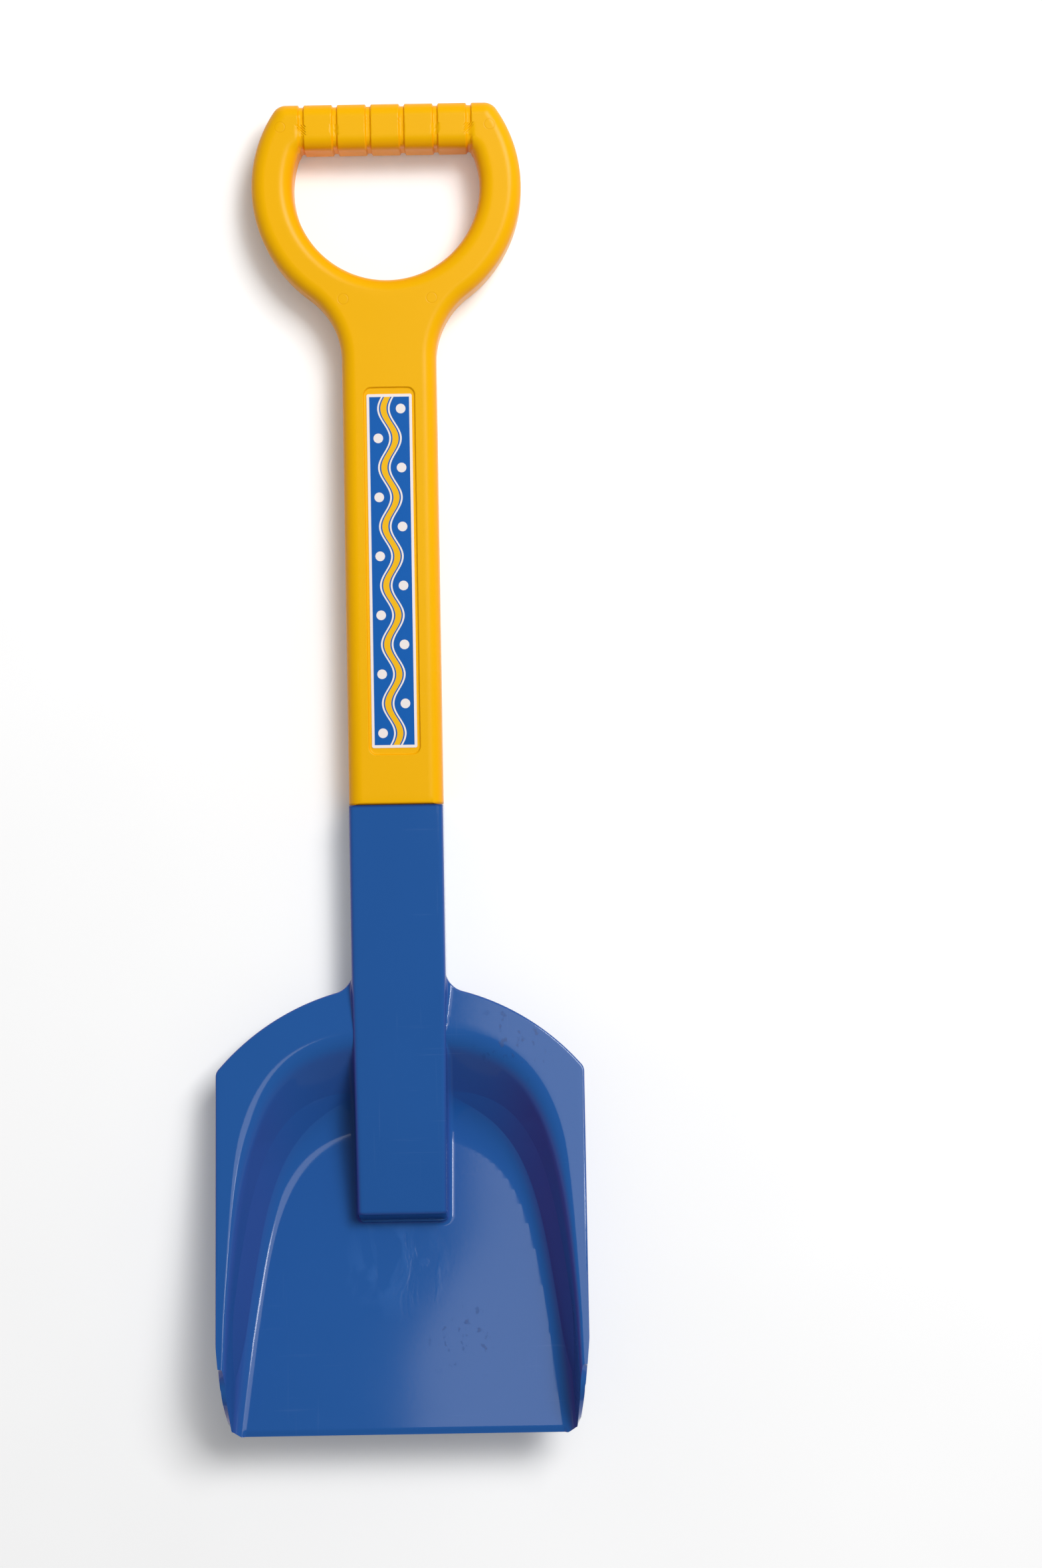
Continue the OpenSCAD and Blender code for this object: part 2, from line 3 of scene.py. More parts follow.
import bmesh
import bpy
import numpy as np
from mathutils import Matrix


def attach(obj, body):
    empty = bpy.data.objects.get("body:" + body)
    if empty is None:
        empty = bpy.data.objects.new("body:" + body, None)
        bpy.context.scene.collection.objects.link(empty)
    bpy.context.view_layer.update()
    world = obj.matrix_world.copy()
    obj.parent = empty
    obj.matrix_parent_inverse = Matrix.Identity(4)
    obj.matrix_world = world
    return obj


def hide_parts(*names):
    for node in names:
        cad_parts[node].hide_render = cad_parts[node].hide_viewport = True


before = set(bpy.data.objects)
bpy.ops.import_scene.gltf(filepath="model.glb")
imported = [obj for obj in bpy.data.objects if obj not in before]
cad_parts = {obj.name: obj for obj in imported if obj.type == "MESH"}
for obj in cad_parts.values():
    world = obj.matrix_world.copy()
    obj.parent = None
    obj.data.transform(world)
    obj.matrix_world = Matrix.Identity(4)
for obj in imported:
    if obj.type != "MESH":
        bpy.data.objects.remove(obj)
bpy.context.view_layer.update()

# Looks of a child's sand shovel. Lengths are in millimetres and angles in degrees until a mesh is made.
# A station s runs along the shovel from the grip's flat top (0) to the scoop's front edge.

MM = 0.001
WELD = 4e-6  # step in metres: points that round to the same step are one
SHARP_ANGLE = 38  # edges that turn by more are shaded sharp

# Sizes of the handle
OVERALL = 570.0  # length of the whole shovel
SEAM = 301.5  # station where the handle meets the blade
THICK = 24.0  # thickness of the handle and the stem
PARTING = THICK / 2  # height of the plane between the handle's halves
STEM_HALF = 20.25  # half width of the stem
GRIP_R = 58.0  # outer radius of the grip
FINGER_R = 40.2  # radius of the finger opening
GRIP_DROP = 35.5  # station of the centre of both
BAR_H = 19.8  # width of the bar at the grip's top
GRIP_CORNER = 6.5  # corner radius at the bar's ends
FINGER_CORNER = 3.0  # corner radius of the opening below the bar
THROAT_R = 35.0  # radius between the grip and the stem
EDGE_R = 6.0  # rounding of the outer edges
EDGE_STEPS = 14  # points over that rounding
SEAM_EDGE = 1.5  # rounding of the top edge at the seam
SHELL = 2.5  # wall of each half
GROOVE_PITCH = 14.4  # from one groove of the bar to the next
GROOVE_W = 2.3
GROOVE_DEPTH = 1.0
GROOVE_IN = 0.45  # how far a groove's soft edge reaches inwards
GROOVE_OUT = 0.25  # how far it reaches outwards
GROOVE_FADE = 0.8  # stretch below the bar over which the grooves end
GROOVES_END = 43.2  # half length of the grooved stretch
RECESS_HALF_W = 11.0  # half width of the label's recess
RECESS_LEN = 157.6
RECESS_DEPTH = 0.8
RECESS_CORNER = 3.5
RECESS_IN = 0.35  # how far the recess's soft edge reaches inwards
RECESS_OUT = 0.25  # how far it reaches outwards
RECESS_RISE = 21.5  # from the seam to the recess
TONGUE_LEN = 74.0  # how far the tongue goes into the stem
TONGUE_HALF = 17.55  # half width of the tongue
TONGUE_T = 18.6  # thickness of the tongue
TONGUE_CORNER = 1.2

# Sizes of the blade
FRONT = OVERALL  # station of the front edge
FLANGE = 378.5  # station of the flange's rear edge
RIM = 401.5  # station of the rim, where the rear wall starts
HEEL = 446.5  # station of the heel, where the floor starts
STEM_END = 475.5  # station of the stem's end, at its top
SIDE_X = 79.0  # half width of the scoop
REAR_R = 103.5  # radius of the flange's rear arc
SHOULDER_R = 4.5  # radius between that arc and the side
NECK_R = 7.0  # radius between that arc and the stem
NECK_BURY = 0.1  # how far the neck starts inside the stem
WALL = 2.6  # thickness of the scoop
FLANGE_DROP = 5.5  # from the stem's top down to the flange's rear
FLANGE_SLOPE = math.tan(math.radians(11.3))
FLOOR_SLOPE = math.tan(math.radians(13.5))
TURN_SHARE = 0.47  # share of the way round at which the straight side starts
RIM_X = 76.2  # half width of the rim at the front
RIM_FULL = 0.845  # share of it at the rim curve's second control point
RIM_TURN = 0.93  # share of it at the third
RIM_DROP = 26  # from the rim to the third, along the shovel
FLOOR_X = 67.4  # half width of the floor at the front
FLOOR_FULL = 0.83  # share of it at the floor curve's second control point
FLOOR_TURN = 0.84  # share of it at the third
FLOOR_DROP = 33  # from the heel to the third, along the shovel
FLOOR_OVER = 1.0  # how far the floor's lines reach past its side
FOOT_BLEND = 13.0  # reach of the round at the foot of the wall, on top
FOOT_SHARE = 0.6  # its largest share of the wall's run
RIM_ROUND = 6.0  # reach of the round at the rim, on top
RIM_SHARE = 0.27  # its largest share of the wall's run
HEEL_BLEND = 8.5  # reach of the round at the heel, on the underside
SIDE_BLEND = 4.6  # the same at the side
RIM_BLEND = 2.4  # reach of the round at the rim, on the underside
UNDER_TUCK = 0.9  # share of the underside's set-back that shortens it
EDGE_ROUND = 0.8  # rounding of the flange's upper edge
UNDER_ROUND = 0.25  # rounding of its lower edge
STEM_TAPER = 1.1  # how much the half width of the stem narrows
STEM_PAST = 1.1  # share of the tapered stretch at which the narrowing ends
STEM_EDGE = 2.2  # rounding of the stem
END_SLOPE = math.tan(math.radians(20))  # lean of the stem's end
STEM_TURN = 13.6  # from the heel back to where the stem's underside starts to rise
SEAM_BREAK = 0.4  # how far the stem's end at the seam is drawn in
SEAM_BREAK_R = 1.9  # its corner radius there
SEAM_BREAK_LEN = 0.5  # stretch over which that eases out
SEAM_HOLD = 4.0  # from the seam to a section that keeps the shading beyond it flat
SOCKET_WALL = 2.6
SOCKET_EDGE = 1.0
SOCKET_TAPER = 0.6  # narrowing of the socket's half width where the underside starts to rise
FILLET = 2.8  # radius of the fillet at the stem's foot
FILLET_LEAST = 0.05
FRONT_CUT = 24.0  # from the front edge back to where the side walls are cut down
FRONT_LIP = 3.0  # height of wall that is left at the front edge
FRONT_OVER = 1.0  # how far the cuts aim past the front edge
CUT_LIFT = 0.4  # how far outside the wall the cuts start
UNCUT = 1e3  # height of the cut where there is none
FRONT_DRAW = 5.1  # how far the sides are drawn in at the front
SIDE_EASE = 1.4  # how far they are drawn in at the cut
FRONT_CORNER = 8.5  # radius of the front corners in plan
BEVEL_W = 2.6  # width of the bevel along the front edge
BEVEL_DROP = 0.9


def sin(angle):
    """Sine of an angle in degrees."""
    return np.sin(np.radians(angle))


def cos(angle):
    """Cosine of an angle in degrees."""
    return np.cos(np.radians(angle))


def smooth_step(low, high, value):
    """Cubic step: 0 below low, 1 above high and 3t^2 - 2t^3 between them."""
    t = np.clip((value - low) / (high - low), 0, 1)
    return t * t * (3 - 2 * t)


def round_box(x, s, half_x, half_s, corner):
    """Distance to a rectangle with round corners, negative inside: beyond the corners' centres it is the
    length of what is over, and within them the smaller shortfall, less the corner radius. x counts to
    both sides, and s from the middle to one end."""
    qx = np.abs(x) - half_x + corner
    qs = s - half_s + corner
    over = np.hypot(np.maximum(qx, 0), np.maximum(qs, 0))
    return over + np.minimum(np.maximum(qx, qs), 0) - corner


class Skin:
    """Collects grids of points (x, s, z) and welds them into one closed mesh."""

    def __init__(self):
        self.points, self.corners, self.count = [], [], 0

    def add(self, x, s, z, closed=False):
        """One grid of rows by columns; a closed grid joins its last column to its first."""
        x, s, z = np.broadcast_arrays(x, s, z)
        index = self.count + np.arange(x.size).reshape(x.shape)
        if closed:
            index = np.concatenate([index, index[:, :1]], axis=1)
        quads = np.stack([index[:-1, :-1], index[1:, :-1], index[1:, 1:], index[:-1, 1:]], -1)
        self.corners.append(quads.reshape(-1, 4))
        self.points.append(np.stack([x, OVERALL / 2 - s, z], -1).reshape(-1, 3))
        self.count += x.size

    def make(self, name, node, material):
        """Welds equal points, drops collapsed faces and hands the mesh to the frame."""
        points = np.concatenate(self.points) * MM
        _, first, welded = np.unique(np.round(points / WELD).astype(np.int64), axis=0,
                                     return_index=True, return_inverse=True)
        faces = welded.reshape(-1)[np.concatenate(self.corners)]
        same = faces == np.roll(faces, -1, axis=1)
        crossed = (faces[:, 0] == faces[:, 2]) | (faces[:, 1] == faces[:, 3])
        quads = faces[(same.sum(1) == 0) & ~crossed]
        pinched = (same.sum(1) == 1) & ~crossed
        turn = (np.argmax(same[pinched], axis=1)[:, None] + np.array([1, 2, 3])) % 4
        triangles = np.take_along_axis(faces[pinched], turn, axis=1)
        mesh = bpy.data.meshes.new(name)
        mesh.from_pydata(points[first].tolist(), [], quads.tolist() + triangles.tolist())
        whole = bmesh.new()
        whole.from_mesh(mesh)
        bmesh.ops.recalc_face_normals(whole, faces=whole.faces)
        whole.to_mesh(mesh)
        whole.free()
        mesh.polygons.foreach_set("use_smooth", np.ones(len(mesh.polygons), bool))
        mesh.set_sharp_from_angle(angle=math.radians(SHARP_ANGLE))
        mesh.materials.append(material)
        piece = bpy.data.objects.new(name, mesh)
        bpy.context.scene.collection.objects.link(piece)
        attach(piece, "root")
        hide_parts(node)


# Handle

# Centres of the outline's corner and throat arcs, and the angles at which they meet the grip's arc
TOP_X = math.sqrt((GRIP_R - GRIP_CORNER) ** 2 - (GRIP_DROP - GRIP_CORNER) ** 2)
TOP_A = math.degrees(math.atan2(TOP_X, GRIP_DROP - GRIP_CORNER))
THROAT_X = STEM_HALF + THROAT_R
THROAT_S = GRIP_DROP + math.sqrt((GRIP_R + THROAT_R) ** 2 - THROAT_X ** 2)
THROAT_A = math.degrees(math.atan2(THROAT_X, GRIP_DROP - THROAT_S))
FINGER_DY = GRIP_DROP - BAR_H - FINGER_CORNER
FINGER_X = math.sqrt((FINGER_R - FINGER_CORNER) ** 2 - FINGER_DY ** 2)
FINGER_A = math.degrees(math.atan2(FINGER_X, FINGER_DY))
RECESS_MID = SEAM - RECESS_RISE - RECESS_LEN / 2
RECESS_A = RECESS_MID - RECESS_LEN / 2
RECESS_B = RECESS_MID + RECESS_LEN / 2

# Shares of the way along each run of the outline, close together where there is detail
BAR_RUN = np.linspace(0, 1, 150)
CORNER_RUN = np.linspace(0, 1, 11)[1:]
GRIP_RUN = np.linspace(0, 1, 71)[1:]
THROAT_RUN = np.linspace(0, 1, 25)[1:]
RING_COUNT = len(BAR_RUN) + len(CORNER_RUN) + len(GRIP_RUN) + len(THROAT_RUN)

# Stations down the stem, close together at both ends of the recess
STEM_STATIONS = np.concatenate([
    np.linspace(THROAT_S, RECESS_A - 0.8, 6)[1:], np.arange(RECESS_A - 0.6, RECESS_A + 5, 0.2),
    np.linspace(RECESS_A + 5.5, RECESS_B - 5.5, 30), np.arange(RECESS_B - 5, RECESS_B + 0.8, 0.2),
    np.linspace(RECESS_B + 1.5, SEAM - SEAM_EDGE, 9)])
STEM_RUN = (STEM_STATIONS - THROAT_S) / (SEAM - SEAM_EDGE - THROAT_S)

# Shares of the way across the flat face, close together at the recess's long side
FLAT_HALF = STEM_HALF - EDGE_R
ACROSS = np.concatenate([np.linspace(0, 8.4, 5), np.arange(8.8, 12, 0.2),
                         np.linspace(12.3, FLAT_HALF, 5)]) / FLAT_HALF
ACROSS_ALL = np.concatenate([ACROSS[::-1], -ACROSS[1:]])


def handle_outline(inset, hold):
    """Right half of the outline, drawn in by inset and held back at the seam: bar top, corner arc,
    grip arc, throat arc and stem side, each an arc whose radius shrinks or grows by the inset."""
    counts = [len(run) for run in (BAR_RUN, CORNER_RUN, GRIP_RUN, THROAT_RUN, STEM_RUN)]
    inset = np.broadcast_to(inset, (len(inset), sum(counts)))
    bar, corner, grip, throat, stem = np.split(inset, np.cumsum(counts)[:-1], axis=1)
    turn = TOP_A * CORNER_RUN
    sweep = TOP_A + (THROAT_A - TOP_A) * GRIP_RUN
    bend = THROAT_A + (90 - THROAT_A) * THROAT_RUN
    x = [TOP_X * BAR_RUN + 0 * bar,
         TOP_X + (GRIP_CORNER - corner) * sin(turn),
         (GRIP_R - grip) * sin(sweep),
         THROAT_X - (THROAT_R + throat) * sin(bend),
         STEM_HALF - stem]
    s = [bar,
         GRIP_CORNER - (GRIP_CORNER - corner) * cos(turn),
         GRIP_DROP - (GRIP_R - grip) * cos(sweep),
         THROAT_S + (THROAT_R + throat) * cos(bend),
         THROAT_S + STEM_RUN * (SEAM - hold - THROAT_S) + 0 * stem]
    return np.concatenate(x, axis=1), np.concatenate(s, axis=1)


def finger_outline(inset):
    """Right half of the finger opening, widened by inset: bar underside, corner arc and round below,
    sampled so that each point of it faces one of the handle's outline down to the stem."""
    inset = np.broadcast_to(inset, (len(inset), RING_COUNT))
    bar, corner, grip = np.split(inset, np.cumsum([len(BAR_RUN), len(CORNER_RUN)]), axis=1)
    turn = FINGER_A * CORNER_RUN
    sweep = np.concatenate([FINGER_A + (THROAT_A - FINGER_A) * GRIP_RUN,
                            THROAT_A + (180 - THROAT_A) * THROAT_RUN])
    x = [FINGER_X * BAR_RUN + 0 * bar,
         FINGER_X + (FINGER_CORNER + corner) * sin(turn),
         (FINGER_R + grip) * sin(sweep)]
    s = [BAR_H - bar,
         BAR_H + FINGER_CORNER - (FINGER_CORNER + corner) * cos(turn),
         GRIP_DROP - (FINGER_R + grip) * cos(sweep)]
    return np.concatenate(x, axis=1), np.concatenate(s, axis=1)


def groove_depth(x, s):
    """Depth of the grooves that ring the bar: soft-edged pulses repeated along x, ended below the bar."""
    nearest = np.abs(np.mod(np.abs(x), GROOVE_PITCH) - GROOVE_PITCH / 2)
    pulse = 1 - smooth_step(GROOVE_W / 2 - GROOVE_IN, GROOVE_W / 2 + GROOVE_OUT, nearest)
    on_bar = (np.abs(x) < GROOVES_END) * (1 - smooth_step(BAR_H, BAR_H + GROOVE_FADE, s))
    return GROOVE_DEPTH * pulse * on_bar


def recess_depth(x, s):
    """Depth of the label's recess: a soft step of the distance to a rectangle with round corners."""
    outside = round_box(x, np.abs(s - RECESS_MID), RECESS_HALF_W, RECESS_LEN / 2, RECESS_CORNER)
    return RECESS_DEPTH * (1 - smooth_step(-RECESS_IN, RECESS_OUT, outside))


def handle_walls(skin, wall, grooved, recessed, place):
    """One skin of a shell: rings up the sides and over the rounded edge, then the flat face with its
    grooves and recess. The edge is a quarter circle of the inset. Returns the loops at the parting."""
    angle = np.concatenate([[0, 0], np.linspace(0, 90, EDGE_STEPS)[1:]])[:, None]
    radius = EDGE_R - wall
    inset = wall + radius * (1 - cos(angle))
    height = THICK - EDGE_R + radius * sin(angle)
    height[0] = PARTING
    rise = np.clip(height - THICK + SEAM_EDGE, 0, SEAM_EDGE)
    hold = SHELL if wall else SEAM_EDGE - np.sqrt(SEAM_EDGE ** 2 - rise ** 2)
    depth = groove_depth if grooved else lambda x, s: 0 * x
    sink = recess_depth if recessed else lambda x, s: 0 * x

    g = depth(*handle_outline(inset, hold))
    x, s = handle_outline(inset + g * cos(angle), hold)
    z = height - g * sin(angle)
    seam_x = ACROSS_ALL[1:-1] * (STEM_HALF - inset)
    seam_s = SEAM - hold + 0 * seam_x
    loop = [np.concatenate([x, seam_x, -x[:, :0:-1]], axis=1),
            np.concatenate([s, seam_s, s[:, :0:-1]], axis=1),
            np.concatenate([z, height + 0 * seam_x, z[:, :0:-1]], axis=1)]
    skin.add(loop[0], loop[1], place(loop[2]), closed=True)

    g = depth(*finger_outline(inset))
    fx, fs = finger_outline(inset + g * cos(angle))
    fz = height - g * sin(angle)
    hole = [np.concatenate([fx, -fx[:, -2:0:-1]], axis=1),
            np.concatenate([fs, fs[:, -2:0:-1]], axis=1),
            np.concatenate([fz, fz[:, -2:0:-1]], axis=1)]
    skin.add(hole[0], hole[1], place(hole[2]), closed=True)

    face = THICK - wall
    inward = (1 - ACROSS[::-1])[:, None]
    ring_x = (1 - inward) * x[-1, :RING_COUNT] + inward * fx[-1]
    ring_s = (1 - inward) * s[-1, :RING_COUNT] + inward * fs[-1]
    for side in (1, -1):
        skin.add(side * ring_x, ring_s, place(face - depth(ring_x, ring_s)))
    edge_x, edge_s = x[-1, RING_COUNT - 1:, None], s[-1, RING_COUNT - 1:, None]
    below_s = (1 - inward) * edge_s[0] + inward * fs[-1, -1]
    skin.add((1 - inward) * ACROSS_ALL * edge_x[0], below_s, place(face))
    stem_x = ACROSS_ALL * edge_x
    skin.add(stem_x, edge_s, place(face - sink(stem_x, edge_s)))
    return [a[0] for a in loop], [a[0] for a in hole]


def half_tongue(skin, place):
    """Half of the tongue: a rounded section above the parting, carried along s and closed at its ends."""
    turn = np.linspace(0, 90, 6)
    top = PARTING + TONGUE_T / 2
    right = np.concatenate([[TONGUE_HALF], TONGUE_HALF - TONGUE_CORNER * (1 - cos(turn))])
    up = np.concatenate([[PARTING], top - TONGUE_CORNER * (1 - sin(turn))])
    x = np.concatenate([right, -right[::-1]])[None, :]
    z = np.concatenate([up, up[::-1]])[None, :]
    ends = np.array([SEAM - SHELL, SEAM + TONGUE_LEN])[:, None]
    skin.add(x, ends, place(z))
    for end in ends[:, 0]:
        skin.add(np.concatenate([x, x]), end, place(np.concatenate([z, 0 * z + PARTING])))
    skin.add(x, ends, place(PARTING))


def handle_half(name, node, material, recessed, place):
    """A shell of the handle: outer skin, inner skin, the rim between them at the parting, and its tongue."""
    skin = Skin()
    outer, hole = handle_walls(skin, wall=0.0, grooved=True, recessed=recessed, place=place)
    inner, inner_hole = handle_walls(skin, wall=SHELL, grooved=False, recessed=False, place=place)
    for a, b in ((outer, inner), (hole, inner_hole)):
        skin.add(np.stack([a[0], b[0]]), np.stack([a[1], b[1]]), PARTING, closed=True)
    half_tongue(skin, place)
    skin.make(name, node, material)


# Blade

# Centres of the flange's rear and shoulder arcs, the angle and the x where they meet, and the neck's start
REAR_CENTRE = FLANGE + REAR_R
SHOULDER_X = SIDE_X - SHOULDER_R
SHOULDER_S = REAR_CENTRE - math.sqrt((REAR_R - SHOULDER_R) ** 2 - SHOULDER_X ** 2)
SHOULDER_A = math.degrees(math.atan2(SHOULDER_X, REAR_CENTRE - SHOULDER_S))
REAR_END = REAR_R * math.sin(math.radians(SHOULDER_A))
NECK_X = STEM_HALF - NECK_BURY

# Control points of the plan curves of the rim and the floor
RIM_CURVE = np.array([[0, RIM], [RIM_X * RIM_FULL, RIM], [RIM_X * RIM_TURN, RIM + RIM_DROP],
                      [RIM_X, FRONT]])
FLOOR_CURVE = np.array([[0, HEEL], [FLOOR_X * FLOOR_FULL, HEEL],
                        [FLOOR_X * FLOOR_TURN, HEEL + FLOOR_DROP], [FLOOR_X, FRONT]])

# Places along the outer edge, close together at the neck and at the front corner
REAR_PLACES = np.concatenate([np.linspace(0, 15, 10), np.arange(15.3, 20, 0.3),
                              NECK_X + NECK_R * (1 - cos(np.linspace(0, 90, 26))),
                              np.linspace(NECK_X + NECK_R, REAR_END, 46)[1:]])
SIDE_STATIONS = np.concatenate([np.linspace(SHOULDER_S, 452, 70)[1:], np.linspace(452, 563, 70)[1:],
                                np.linspace(563, FRONT, 15)[1:]])

# Lines along the floor's right half, close together at the fillet of the stem
FLOOR_LINES = np.concatenate([np.linspace(0, 16.8, 7), np.arange(17.2, 24.4, 0.4),
                              np.linspace(25, FLOOR_X + FLOOR_OVER, 16)])

# Shares of the way along a flat of the stem's section, and of the outline's size in the rings of an end
FLAT_SHARES = np.array([0.02, 0.1, 0.3, 0.5, 0.7, 0.9, 0.98])
END_SHARES = np.array([1, 0.9, 0.5, 0])[:, None, None]


def flange_z(s):
    """Height of the flange's top, a plane that climbs towards the front."""
    return THICK - FLANGE_DROP + FLANGE_SLOPE * (s - FLANGE)


# Lean of the wall at the heel, reach of the underside's round there, and how far that dips below the heel
HEEL_LEAN = math.atan2(flange_z(RIM) - WALL, HEEL - RIM - HEEL_BLEND)
HEEL_REACH = HEEL_BLEND + WALL * math.tan(HEEL_LEAN / 2)
HEEL_SAG = FLOOR_SLOPE ** 2 * HEEL_REACH / (math.sin(HEEL_LEAN) + FLOOR_SLOPE)


def floor_z(s):
    """Height of the floor's top, a steeper plane whose heel touches down."""
    return WALL + HEEL_SAG + FLOOR_SLOPE * (s - HEEL)


def cubic(curve, t):
    """Cubic curve at the shares t, from the first to the last of its four control points."""
    weights = np.stack([(1 - t) ** 3, 3 * t * (1 - t) ** 2, 3 * t * t * (1 - t), t ** 3], -1)
    return weights @ curve


def quadratic(a, c, b, count):
    """Parabolic blends from a over the corner c to b, one row of points for each station."""
    t = np.linspace(0, 1, count)[None, :, None]
    return (1 - t) ** 2 * a[:, None] + 2 * t * (1 - t) * c[:, None] + t ** 2 * b[:, None]


def straight(a, b, count):
    """Points on the line from a to b without its ends, one row for each station."""
    t = np.linspace(0, 1, count)[None, 1:-1, None]
    return a * (1 - t) + b * t


def unit(way):
    """Directions scaled to a length of one."""
    return way / np.linalg.norm(way, axis=-1, keepdims=True)


def blade_stations():
    """Outer edge of the scoop's right half, from the centre line at the rear to the front, and each
    point's share of the way round: rear arc with its neck, shoulder arc, then the straight side."""
    x, run = REAR_PLACES, SIDE_STATIONS
    reach = np.clip(NECK_X + NECK_R - x, 0, NECK_R)
    rear_s = REAR_CENTRE - np.sqrt(REAR_R ** 2 - x ** 2) - NECK_R + np.sqrt(NECK_R ** 2 - reach ** 2)
    rear = np.stack([x, rear_s], -1)
    turn = np.linspace(0, 1, 11)[1:]
    angle = SHOULDER_A + (90 - SHOULDER_A) * turn
    shoulder = np.stack([SHOULDER_X + SHOULDER_R * sin(angle), SHOULDER_S - SHOULDER_R * cos(angle)], -1)
    side = np.stack([0 * run + SIDE_X, run], -1)
    far = REAR_END / SIDE_X
    share = np.concatenate([TURN_SHARE * x / SIDE_X, TURN_SHARE * (far + (1 - far) * turn),
                            TURN_SHARE + (1 - TURN_SHARE) * (run - SHOULDER_S) / (FRONT - SHOULDER_S)])
    return np.concatenate([rear, shoulder, side]), share


def stem_half_width(s):
    """Half width of the blade's stem, which narrows a little along the scoop."""
    return STEM_HALF - STEM_TAPER * np.clip((s - FLANGE) / (STEM_END - FLANGE), 0, STEM_PAST)


def stem_fillet(x, s, z):
    """Rise of the skin into the fillet at the stem's foot: a quarter circle of the distance to the stem."""
    end = STEM_END + STEM_EDGE + (THICK - STEM_EDGE - z) * END_SLOPE
    away = round_box(x, s, stem_half_width(s), end, STEM_EDGE)
    radius = np.clip(THICK - STEM_EDGE - z, FILLET_LEAST, FILLET)
    gap = radius - np.clip(away, 0, radius)
    return radius - np.sqrt(radius ** 2 - gap ** 2)


def front_bevel(x, s):
    """Drop of the floor's front edge, a straight bevel over its last stretch."""
    return BEVEL_DROP * np.clip((s - FRONT + BEVEL_W) / BEVEL_W, 0, 1) * (np.abs(x) < FLOOR_X + FLOOR_OVER)


def front_cut(s):
    """Height to which the side walls are cut: a parabolic turn off the flange, then a straight fall."""
    knee = np.array([FRONT - FRONT_CUT, flange_z(FRONT - FRONT_CUT)])
    toe = np.array([FRONT + FRONT_OVER, floor_z(FRONT) + FRONT_LIP])
    reach = FRONT_CUT / 2
    start = np.array([knee[0] - reach, flange_z(knee[0] - reach) + CUT_LIFT])
    end = knee + unit(toe - knee) * reach
    turn = quadratic(start[None], knee[None], end[None], 40)[0]
    curve = np.concatenate([turn, toe[None]])
    return np.where(s < start[0], UNCUT, np.interp(s, curve[:, 0], curve[:, 1]))


def side_reach(s):
    """Half width of the scoop in plan: a parabola that draws the sides in, then a round front corner."""
    end = FRONT + FRONT_OVER
    plan = quadratic(np.array([[SIDE_X + CUT_LIFT, FRONT - 2 * FRONT_CUT]]),
                     np.array([[SIDE_X - SIDE_EASE, FRONT - FRONT_CUT]]),
                     np.array([[SIDE_X - FRONT_DRAW, end]]), 60)[0]
    into = np.clip(s - end + FRONT_CORNER, 0, FRONT_CORNER)
    return np.interp(s, plan[:, 1], plan[:, 0]) - FRONT_CORNER + np.sqrt(FRONT_CORNER ** 2 - into ** 2)


def clipped(rows):
    """Draws the points of each row that stand above the front cut or outside the plan to where the row
    last crosses one of them."""
    count = rows.shape[1]
    crossing = np.full(len(rows), -1.0)
    for over in (rows[..., 2] - front_cut(rows[..., 1]), rows[..., 0] - side_reach(rows[..., 1])):
        last = np.minimum(count - 1 - np.argmax((over > 0)[:, ::-1], axis=1), count - 2)[:, None]
        high, low = np.take_along_axis(over, last, 1), np.take_along_axis(over, last + 1, 1)
        place = last + high / np.where(high == low, 1, high - low)
        crossing = np.maximum(crossing, np.where((over > 0).any(axis=1), place[:, 0], -1))
    pick = np.clip(np.floor(crossing), 0, count - 2).astype(int)[:, None, None]
    a, b = np.take_along_axis(rows, pick, 1), np.take_along_axis(rows, pick + 1, 1)
    point = a + (crossing[:, None, None] - pick) * (b - a)
    return np.where((np.arange(count) <= crossing[:, None])[..., None], point, rows)


